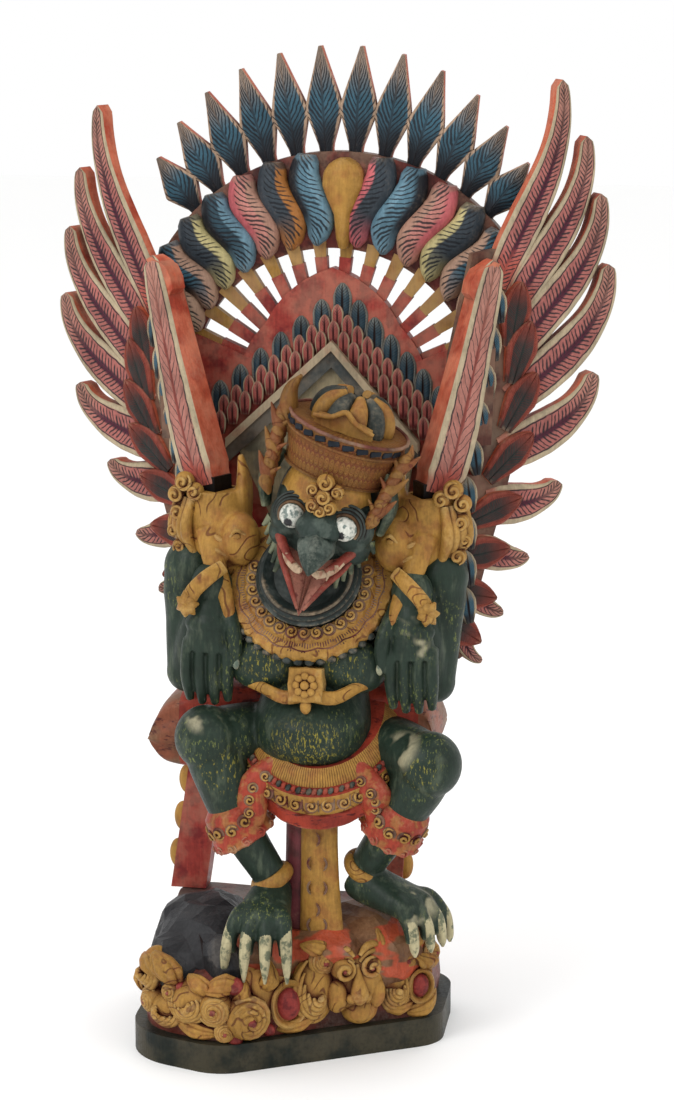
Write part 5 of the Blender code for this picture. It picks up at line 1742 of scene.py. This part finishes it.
class GARUDA_OT_dress(bpy.types.Operator):
    """Carve the collar, straps, belt, skirt, hip cloth, sash, cuffs and rings"""

    bl_idname = "garuda.dress"
    bl_label = "Ornaments and cloth"

    def execute(self, context):
        gold = bpy.data.materials["ornament_gold"]
        ink = plain_paint("ink_red", (0.10, 0.012, 0.012), (0.05, 0.01, 0.01))
        dark = plain_paint("ring_dark", (0.018, 0.026, 0.024), (0.05, 0.06, 0.055), wear=0.7)
        deep_red = blend_colours(pots().red, (0.16, 0.015, 0.012), 0.35)
        red = cloth_paint("red_cloth", deep_red, blend_colours(pots().red, (0.12, 0.012, 0.01), 0.7))
        collar, curls, beads, ring = collar_pieces()
        collar.build("collar", gold, *FIGURE)
        curls.build("collar_curls", [gold, ink], *FIGURE)
        beads.build("collar_beads", dark, *FIGURE)
        ring.build("neck_ring", dark, *FIGURE)
        strap, brooch = strap_pieces()
        strap.build("chest_strap", gold, *FIGURE)
        brooch.build("brooch", gold, *FIGURE)
        cloth, skirt_curls, bead_row = skirt_pieces()
        striped = gold_paint("striped_gold", lines=110.0)
        cloth.build("skirt", [red, striped, gold], *FIGURE)
        skirt_curls.build("skirt_curls", [gold, ink], *FIGURE)
        bead_row.build("belt_beads", [dark, red], *FIGURE)
        brown = (0.155, 0.070, 0.036)
        hip_brown = cloth_paint("hip_brown", brown, blend_colours(brown, pots().red, 0.3))
        hip_cloth().build("hip_cloth", [hip_brown, red], *FIGURE, sharp=60)
        sash, lining = sash_pieces()
        sash.build("sash", [gold_paint("sash_gold"), ink], *FIGURE)
        lining.build("sash_lining", plain_paint("lining_rose", (0.16, 0.04, 0.045), (0.09, 0.03, 0.03)),
                     *FIGURE)
        cuffs, rings, bracelets = cuff_pieces()
        cuff_red = plain_paint("cuff_red", (0.29, 0.04, 0.022), (0.30, 0.11, 0.035), patch=90.0)
        cuffs.build("shin_cuffs", [cuff_red, gold, ink], *FIGURE)
        rings.build("ankle_rings", gold, *FIGURE)
        bracelets.build("bracelets", gold, *FIGURE)
        return {"FINISHED"}


def socket_forms(beast, curls, side):
    """One sea beast: the neck that holds the wing, cheek, trunk, mane of curls and pointed ear."""
    x = side * SOCKET[0]
    stations = ((424, -14 * side, -14, 12, 16), (438, -12 * side, -17, 23, 22),
                (452, -9 * side, -18, 29, 25), (474, -4 * side, -16, 30, 25), (490, -1 * side, -14, 28, 23),
                (500, 0, -13, 26, 22))
    oval_stack(beast, x, stations)
    beast.ball((x - side * 26, -33, 460), (18, 19, 24))
    beast.tube([(x - side * 24, -12, 480), (x - side * 26, -12, 506), (x - side * 22, -8, 530)],
               [(9, 16), (7, 12), (2.5, 4)], 14)
    beast.tube([(x + side * 2, -36, 470), (x - side * 7, -48, 440), (x - side * 19, -58, 410),
                (x - side * 25, -62, 374)],
               [(11, 8), (10, 7), (7, 6), (3.5, 3)], 16)
    # The mane: upright locks at the outer side, and curls on their ends
    for k in range(4):
        out = 17 + 5 * k
        lock = [(x + side * (out - 2), -30 + 5 * k, 446 + 3 * k), (x + side * (out + 4), -37 + 6 * k, 468),
                (x + side * out, -32 + 6 * k, 494)]
        curls.tube(lock, [(4, 5), (5.5, 6), (3.5, 4)], 12, (1, 0, 0), 5)
    for k, (beside, z, size) in enumerate(((14, 500, 8), (24, 508, 9), (32, 496, 8), (30, 480, 8),
                                           (34, 464, 7), (28, 450, 8))):
        spot = v3(x + side * beside, -34 + beside * 0.35, z)
        curls.ball(spot, (size, size * 0.9, size), None, 12)
        curl(curls, spot - v3(0, size * 0.7, 0), (side * 0.3, -1, 0.1), size * 0.85, k, side, 8, 0, 1.3)
    # Brow, eye and the folds where the trunk begins
    for k in range(3):
        fold = [(x - side * (2 - 2 * k), -42 - 2.2 * k, 466 - 9 * k),
                (x - side * (10 - k), -45 - 3.4 * k, 462 - 10 * k),
                (x - side * (17 - k), -43 - 4 * k, 458 - 10 * k)]
        curls.tube(fold, [(1, 1), (2.4, 2.2), (1, 1)], 8, (0, 0, 1))
    eye = v3(x - side * 27, -51, 466)
    curls.ball(eye, (3.6, 2.4, 3), None, 10)
    curls.tube([eye + v3(side * 6, 1, -1), eye + v3(0, -2, 5.5), eye + v3(-side * 7, 3, 1)],
               [(1, 1), (1.8, 1.6), (1, 1)], 8, (0, 0, 1))


class GARUDA_OT_sockets(bpy.types.Operator):
    """Carve the gold sea beasts whose heads hold the wings"""

    bl_idname = "garuda.sockets"
    bl_label = "Wing sockets"

    def execute(self, context):
        for name, (side, swept, lean, _, _) in WINGS.items():
            beast, curls = Carving(), Carving()
            socket_forms(beast, curls, side)
            paint = gold_paint(f"{name}_gold", engraved=26.0)
            piece = beast.build(f"{name}_socket", paint, *FIGURE, facet=sizes().gold_step, smooth=1)
            cut_pocket(piece, side, swept, lean)
            curls.build(f"{name}_mane", paint, *FIGURE)
        return {"FINISHED"}


def cut_pocket(piece, side, swept, lean):
    """Cuts the square hole that a wing's tenon stands in."""
    turn = Matrix.Rotation(radians(side * swept), 4, "Z") @ Matrix.Rotation(radians(side * lean), 4, "Y")
    bm = bmesh.new()
    bmesh.ops.create_cube(bm, size=1)
    # The pocket is wider than the tenon by its play, and its other half is in the air above the mouth
    wide, deep, low = (2 * MM * (half + play) for half, play in zip(TENON, POCKET_PLAY))
    size = Matrix.Diagonal((wide, deep, low, 1))
    spot = Matrix.Translation((side * SOCKET[0] * MM, SOCKET[1] * MM, SOCKET[2] * MM))
    bmesh.ops.transform(bm, matrix=spot @ turn @ size, verts=bm.verts)
    mesh = bpy.data.meshes.new("pocket")
    bm.to_mesh(mesh)
    bm.free()
    cutter = bpy.data.objects.new("pocket", mesh)
    bpy.context.scene.collection.objects.link(cutter)
    hole = piece.modifiers.new("pocket", "BOOLEAN")
    hole.operation, hole.object, hole.solver = "DIFFERENCE", cutter, "EXACT"
    seen = piece.evaluated_get(bpy.context.evaluated_depsgraph_get())
    made = bpy.data.meshes.new_from_object(seen)
    piece.modifiers.clear()
    piece.data = made
    made.shade_smooth()
    made.set_sharp_from_angle(angle=radians(55))
    bpy.data.objects.remove(cutter)
    bpy.data.meshes.remove(mesh)


def rounded_outline(corners, steps=5):
    found = []
    for i, (x, y, radius) in enumerate(corners):
        here = Vector((x, y))
        to_last = (Vector(corners[i - 1][:2]) - here).normalized()
        to_next = (Vector(corners[(i + 1) % len(corners)][:2]) - here).normalized()
        half = to_last.angle(to_next) / 2
        centre = here + (to_last + to_next).normalized() * radius / sin(half)
        first = here + to_last * radius / tan(half) - centre
        last = here + to_next * radius / tan(half) - centre
        turned = first.angle_signed(last)
        for k in range(steps + 1):
            found.append(np.array(centre + Matrix.Rotation(-turned * k / steps, 2) @ first, float))
    return found


def fine_outline():
    """The base's outline with its corners rounded, in even steps."""
    corners = rounded_outline(BASE_CORNERS, 10)
    loop = np.array(corners + corners[:1])
    run = np.concatenate([[0], np.cumsum(np.linalg.norm(np.diff(loop, axis=0), axis=1))])
    at = np.linspace(0, run[-1], 241)
    return np.stack([np.interp(at, run, loop[:, 0]), np.interp(at, run, loop[:, 1])], -1)


def on_wall(x, z, inset=8.0):
    """A point on the front of the base's side at that x, and the way out of it."""
    outline = fine_outline()
    front = outline[: len(outline) // 2 + 6]
    i = int(np.argmin(np.abs(front[:, 0] - x) + np.where(front[:, 1] > 40, 500, 0)))
    a, b = outline[max(i - 3, 0)], outline[i + 3]
    ahead = unit(b - a)
    out = v3(ahead[1], -ahead[0], 0)
    return v3(*outline[i], z) - out * inset, out


def foliage_forms(gold, red):
    """Snails, shells, leaves and a curled mask, carved round the front of the rock."""

    def at(x, z, inset=10.0):
        """A place on the rock, a little sunk, with the way out of it, to its right and up."""
        spot, out = on_wall(x, z, inset + 2.2)
        return (spot, out, *frame_round(out)[:2])

    def snail(x, z, size, hand=1, turn=0.0, inset=10.0):
        spot, out, _, _ = at(x, z, inset)
        gold.ball(spot, (size * 1.04,) * 3, None, 18)
        for k in range(3):
            curl(gold, spot + out * size * (0.42 + 0.2 * k), out, size * (0.98 - 0.2 * k), turn + 0.4 * k,
                 hand, 12, 0, 1.5 - 0.3 * k)
        red.ball(spot + out * size * 1.02, (size * 0.2,) * 3, None, 8)

    def shell(x, z, wide, tall, tail, inset=8.0):
        spot, out, right, up = at(x, z, inset)
        end, _, _, _ = at(*tail)
        t = circle(41)
        rows = []
        for k in range(15):
            go = k / 14
            grown = 0.35 + 0.65 * go + 0.035 * sin(go * 38)
            centre = end + (spot - end) * go + out * (3 * sin(go * 3.1) + 6 * go)
            rows.append(oval(centre, right, up, wide * grown, tall * grown, t))
        for lift, grown in ((3, 1.04), (5, 0.94), (3, 0.78), (-4, 0.66)):
            rows.append(oval(spot + out * (6 + lift), right, up, wide * grown, tall * grown, t))
        gold.rings(rows)
        red.ball(spot + out * 5, (wide * 0.66, wide * 0.6, tall * 0.7), None, 14)

    def swirl(x, z, wide, tall, hand, lean, ridges=5, inset=10.0):
        spot, out, right, up = at(x, z, inset)
        gold.ball(spot - out * 4, (wide, wide * 0.8, tall), None, 18)
        for k in range(ridges):
            t = np.linspace(0, 1, 10)
            a = lean + hand * (0.35 * k + (4.2 - 0.3 * k) * t)
            r = (1 - 0.19 * k) * (1 - 0.3 * t)
            lift = wide * 0.35 + 2.6 * k - 5 * np.abs(t - 0.4)
            path = oval(spot, right, up, wide * r, tall * r, a) + out * lift[:, None]
            thick = np.interp(t, (0, 0.2, 0.8, 1), (1.2, 3.2, 3.0, 1.4))
            gold.tube(path, np.stack([thick, thick], -1), 10, tuple(out), 2)

    def leaf_form(x, z, long, wide, lean, inset=9.0):
        """A fluted leaf that swells from its root and hooks over at its tip."""
        spot, out, right, up = at(x, z, inset)
        way = right * cos(lean) + up * sin(lean)
        beside = np.cross(way, out)
        t = circle(73)
        flute = 0.84 + 0.24 * np.abs(np.cos(3.5 * t))
        rows = []
        for go in np.linspace(0, 1, 18):
            centre = spot + way * long * (1.55 * go - 0.65)
            centre = centre - beside * wide * 1.1 * go ** 3 + out * 6 * sin(3.0 * go)
            grown = np.interp(go, (0, 0.15, 0.5, 0.8, 0.94, 1), (0.3, 0.72, 1, 0.74, 0.36, 0.04))
            rows.append(oval(centre, beside, out, wide * grown * flute, wide * 0.7 * grown * flute, t))
        gold.rings(rows)

    for placed in (
        (-77, 57, 15, 1, 3.4), (-47, 47, 20, -1, 2.2, 9), (-66, 36, 10, 1, 0.4, 7), (80, 82, 13, 1, 0.6),
        (-123, 66, 10, -1, 0.2), (14, 90, 13, 1, 2.0), (66, 88, 11, 1, 0.2), (-146, 52, 12, 1, 1.0),
        (104, 84, 11, 1, 2.0),
    ):
        snail(*placed)
    shell(-14, 55, 17, 22, (-44, 84), 10)
    shell(93, 56, 13, 16, (98, 86), 9)
    for placed in (
        (8, 62, 21, 32, 1, 1.9, 6), (71, 58, 18, 28, -1, 1.2, 6), (-102, 60, 22, 20, 1, 2.6),
        (-148, 80, 15, 20, -1, 0.8), (-128, 48, 18, 15, -1, 0.4), (33, 62, 12, 14, -1, 0.4, 4),
        (54, 62, 11, 14, 1, 2.6, 4),
    ):
        swirl(*placed)
    for placed in (
        (-121, 84, 20, 15, 1.7), (-140, 84, 18, 12, 2.0), (-68, 80, 18, 11, 2.8), (-88, 76, 17, 10, 2.0),
        (-100, 36, 30, 8, -0.35), (-8, 34, 26, 7, 0.15), (96, 34, 22, 9, 0.2), (76, 38, 20, 8, -0.2),
        (100, 76, 15, 12, 1.7), (-30, 78, 18, 10, 0.9), (90, 98, 14, 8, 1.0), (12, 102, 15, 9, 2.2),
        (64, 98, 14, 8, 1.2), (-158, 62, 16, 9, 1.4), (-50, 66, 14, 8, 0.6),
    ):
        leaf_form(*placed)
    # A larger mask looks out between the snails: domed brow, two curled eyes, a long nose and full cheeks
    spot, out, right, up = at(38, 68, 7)
    gold.ball(spot - out * 6, (30, 20, 34), None, 24)
    for side in (-1, 1):
        gold.ball(spot + right * 18 * side - up * 10 + out * 9, (10, 8, 15), None, 16)
        eye = spot + right * 13 * side + up * 15 + out * 10
        gold.ball(eye, (11, 6, 10), None, 14)
        curl(gold, eye + out * 5.5, out, 10, 1.2, side, 10, 0, 1.3)
        red.ball(eye + out * 7, (2.6, 2.6, 2.6), None, 8)
        for lift in (0, 6):
            brow = [spot + right * side * u + up * (v + lift) + out * w
                    for u, v, w in ((3, 20, 12), (10, 27, 10), (20, 27, 6), (28, 18, 1))]
            gold.tube(brow, [(2, 2), (3.6, 3.4), (3.4, 3.2), (1.4, 1.4)], 12, tuple(out))
    nose = [spot + up * v + out * w for v, w in ((18, 11), (6, 15), (-8, 19), (-15, 17))]
    gold.tube(nose, [(3, 3), (5, 5), (8.4, 7), (4.5, 4.5)], 16, tuple(right))
    for side in (-1, 1):
        gold.ball(spot + right * 7 * side - up * 11 + out * 17, (5, 4.5, 4.5), None, 12)
    spot, out, right, up = at(43, 42, 8)
    gold.ball(spot, (17, 17, 15), None, 20)
    for k in range(4):
        lip = [spot + right * 15 * u + up * (12 + 3 * k - 5 * u * u) + out * (12 - 5 * abs(u))
               for u in (-1, -0.5, 0, 0.5, 1)]
        gold.tube(lip, [(1, 1), (2, 2), (2.4, 2.4), (2, 2), (1, 1)], 8, tuple(out))
    for x, z, size in ((-55, 77, 8), (-57, 28, 7), (-112, 72, 5), (-30, 33, 6), (84, 66, 5), (62, 80, 5)):
        spot, out, _, _ = at(x, z, 6)
        red.ball(spot, (size,) * 3, None, 12)


def chip(piece, size, depth, share):
    """Breaks a rock's surface into flat chiselled facets."""
    texture = bpy.data.textures.new(f"{piece.name}_chisel", "CLOUDS")
    texture.noise_scale = size
    push = piece.modifiers.new("chisel", "DISPLACE")
    push.texture, push.strength, push.mid_level = texture, -depth, 0.0
    push.texture_coords = "LOCAL"
    facets = piece.modifiers.new("facets", "DECIMATE")
    facets.ratio = share
    piece.data.shade_flat()


# The stones of each rock: middle, radii, turn and fineness
BLACK_STONES = (
    ((-102, -18, 80), (56, 76, 53), (0.12, 0, 0.3), 24),
    ((-118, -58, 78), (38, 42, 34), (0, 0, 0.3), 20),
    ((-74, -74, 84), (28, 32, 32), (0, 0, 0.3), 20),
)
WARM_STONES = (
    ((-46, -48, 84), (44, 43, 42), (0.2, 0, 0.3), 24),
    ((40, 0, 85), (63, 57, 44), (0, 0.06, 0.3), 24),
    ((-30, 24, 86), (103, 41, 34), (0, 0, 0), 24),
    ((10, -40, 96), (40, 36, 26), (0, 0, 0), 20),
)
BOARD_TOP = 26
# How far the red core under the carving lies inside the board's outline, at each height
CORE_LAYERS = ((12, 24), (10, 38), (12, 60), (18, 76), (28, 84))
ROCK_FACET = 0.0026


def rock_paint(name, colour, second, third=None):
    look, nodes, shader = new_material(name)
    place = nodes.here()
    base = nodes.mix(nodes.step(nodes.noise(place, 24.0, 4.0, 0.6), 0.42, 0.60), colour, second)
    if third:
        base = nodes.mix(nodes.step(nodes.noise(nodes.stretch(place, (26.0, 26.0, 60.0)), 1.0, 2.0), 0.48,
                                    0.54), base, third)
    finish_paint(nodes, shader, base, recess=0.9, wear=0.6, worn=(0.16, 0.14, 0.12), depth=1.6)
    return look


class GARUDA_OT_base(bpy.types.Operator):
    """Carve the board, the rocks and the gilded leaves and shells round them"""

    bl_idname = "garuda.base"
    bl_label = "Base"

    def execute(self, context):
        outline = fine_outline()
        board, core, black, warm = Carving(), Carving(), Carving(), Carving()
        rows = [np.column_stack([outline, np.full(len(outline), z)]) for z in (0, BOARD_TOP)]
        board.rings(rows)
        middle = outline[:-1].mean(0)
        inward = middle - outline
        inward /= np.linalg.norm(inward, axis=1)[:, None]
        rows = [np.column_stack([outline + inward * inset, np.full(len(outline), z)])
                for inset, z in CORE_LAYERS]
        core.rings(rows)
        rows = [np.column_stack([outline[:, 0] + 20 * inward[:, 0],
                                 np.maximum(outline[:, 1] + 20 * inward[:, 1], -10), [z] * len(outline)])
                for z in (80, 102.5)]
        core.rings(rows)
        for rock, stones in ((black, BLACK_STONES), (warm, WARM_STONES)):
            for spot, radii, turn, detail in stones:
                rock.ball(spot, radii, Euler(turn), detail)
        tan, brown = (0.21, 0.105, 0.050), (0.12, 0.050, 0.022)
        red = pots().red
        board.build("base_board", plain_paint("board_black", (0.009, 0.013, 0.010), (0.015, 0.018, 0.014),
                                              wear=0.3, worn=(0.12, 0.09, 0.05)), *FIGURE)
        core.build("base_core", rock_paint("core_red", (0.14, 0.026, 0.016), (0.045, 0.014, 0.01)), *FIGURE)
        rock = black.build("black_rock", rock_paint("rock_black", (0.030, 0.030, 0.032),
                                                    (0.012, 0.012, 0.014)), *FIGURE,
                           facet=ROCK_FACET, smooth=2)
        chip(rock, 0.03, 0.012, 0.03)
        rock = warm.build("warm_rock", rock_paint("rock_warm", tan, brown,
                                                  blend_colours(red, (0.5, 0.10, 0.04), 0.5)), *FIGURE,
                          facet=ROCK_FACET, smooth=2)
        chip(rock, 0.03, 0.010, 0.03)
        gold, mouths = Carving(), Carving()
        foliage_forms(gold, mouths)
        gold.build("base_foliage", gold_paint("foliage_gold", engraved=30.0), *FIGURE)
        mouths.build("base_bosses", plain_paint("boss_red", (0.22, 0.03, 0.025), (0.12, 0.015, 0.015),
                                                patch=90.0), *FIGURE)
        return {"FINISHED"}


# The floor and lamps, in metres and watts, and the camera
FLOOR_HALF = 8
LAMPS = (
    ("key", (-1.6, -2.4, 2.6), 1.6, 42),
    ("fill", (2.4, -1.8, 1.6), 2.0, 10),
    ("top", (0, 0.6, 3.0), 2.0, 10),
)
LAMPS_AIM = (0, 0, 0.45)
CAMERA_SPOT = (0.48759, -2.69720, 1.02831)
CAMERA_AIM = (0.012, 0, 0.446159)
CAMERA_LENS = 104.6
CAMERA_SENSOR = 36


class GARUDA_OT_stage(bpy.types.Operator):
    """Set the pale floor, the soft lamps and the camera"""

    bl_idname = "garuda.stage"
    bl_label = "Stage"

    def execute(self, context):
        scene = context.scene
        look, _, shader = new_material("floor_white")
        shader.inputs["Base Color"].default_value = (0.98, 0.98, 0.975, 1)
        shader.inputs["Roughness"].default_value = 0.9
        mesh = bpy.data.meshes.new("floor")
        half = FLOOR_HALF
        mesh.from_pydata([(-half, -half, 0), (half, -half, 0), (half, half, 0), (-half, half, 0)], [],
                         [(0, 1, 2, 3)])
        mesh.materials.append(look)
        floor = bpy.data.objects.new("floor", mesh)
        scene.collection.objects.link(floor)
        world = bpy.data.worlds.new("studio")
        world.use_nodes = True
        world.node_tree.nodes["Background"].inputs[0].default_value = (1, 1, 1, 1)
        world.node_tree.nodes["Background"].inputs[1].default_value = 1.0
        scene.world = world
        for name, spot, size, power in LAMPS:
            lamp = bpy.data.lights.new(name, "AREA")
            lamp.size, lamp.energy = size, power
            holder = bpy.data.objects.new(name, lamp)
            holder.location = spot
            holder.rotation_euler = (Vector(LAMPS_AIM) - Vector(spot)).to_track_quat("-Z", "Y").to_euler()
            scene.collection.objects.link(holder)
        camera = bpy.data.cameras.new("camera")
        camera.lens, camera.sensor_width = CAMERA_LENS, CAMERA_SENSOR
        holder = bpy.data.objects.new("camera", camera)
        holder.location = CAMERA_SPOT
        aim = Vector(CAMERA_AIM) - holder.location
        holder.rotation_euler = aim.to_track_quat("-Z", "Y").to_euler()
        scene.collection.objects.link(holder)
        scene.camera = holder
        scene.view_settings.view_transform = "Standard"
        return {"FINISHED"}


OPERATORS = (
    GARUDA_OT_wings,
    GARUDA_OT_fan,
    GARUDA_OT_body,
    GARUDA_OT_head,
    GARUDA_OT_dress,
    GARUDA_OT_sockets,
    GARUDA_OT_base,
    GARUDA_OT_stage,
)


class GARUDA_PT_panel(bpy.types.Panel):
    """Lists the carving's sizes, colours and steps"""

    bl_idname = "GARUDA_PT_panel"
    bl_label = "Painted garuda"
    bl_space_type = "VIEW_3D"
    bl_region_type = "UI"
    bl_category = "Garuda"

    def draw(self, context):
        for group in (context.scene.garuda_sizes, context.scene.garuda_colours):
            box = self.layout.box()
            for name in group.__annotations__:
                box.prop(group, name)
        for step in OPERATORS:
            self.layout.operator(step.bl_idname)


CLASSES = (GarudaSizes, GarudaColours, *OPERATORS, GARUDA_PT_panel)


def register():
    for kind in CLASSES:
        bpy.utils.register_class(kind)
    bpy.types.Scene.garuda_sizes = PointerProperty(type=GarudaSizes)
    bpy.types.Scene.garuda_colours = PointerProperty(type=GarudaColours)


def unregister():
    del bpy.types.Scene.garuda_colours
    del bpy.types.Scene.garuda_sizes
    for kind in reversed(CLASSES):
        bpy.utils.unregister_class(kind)


def main():
    register()
    for step in OPERATORS:
        family, name = step.bl_idname.split(".")
        getattr(getattr(bpy.ops, family), name)()


if __name__ == "__main__":
    main()
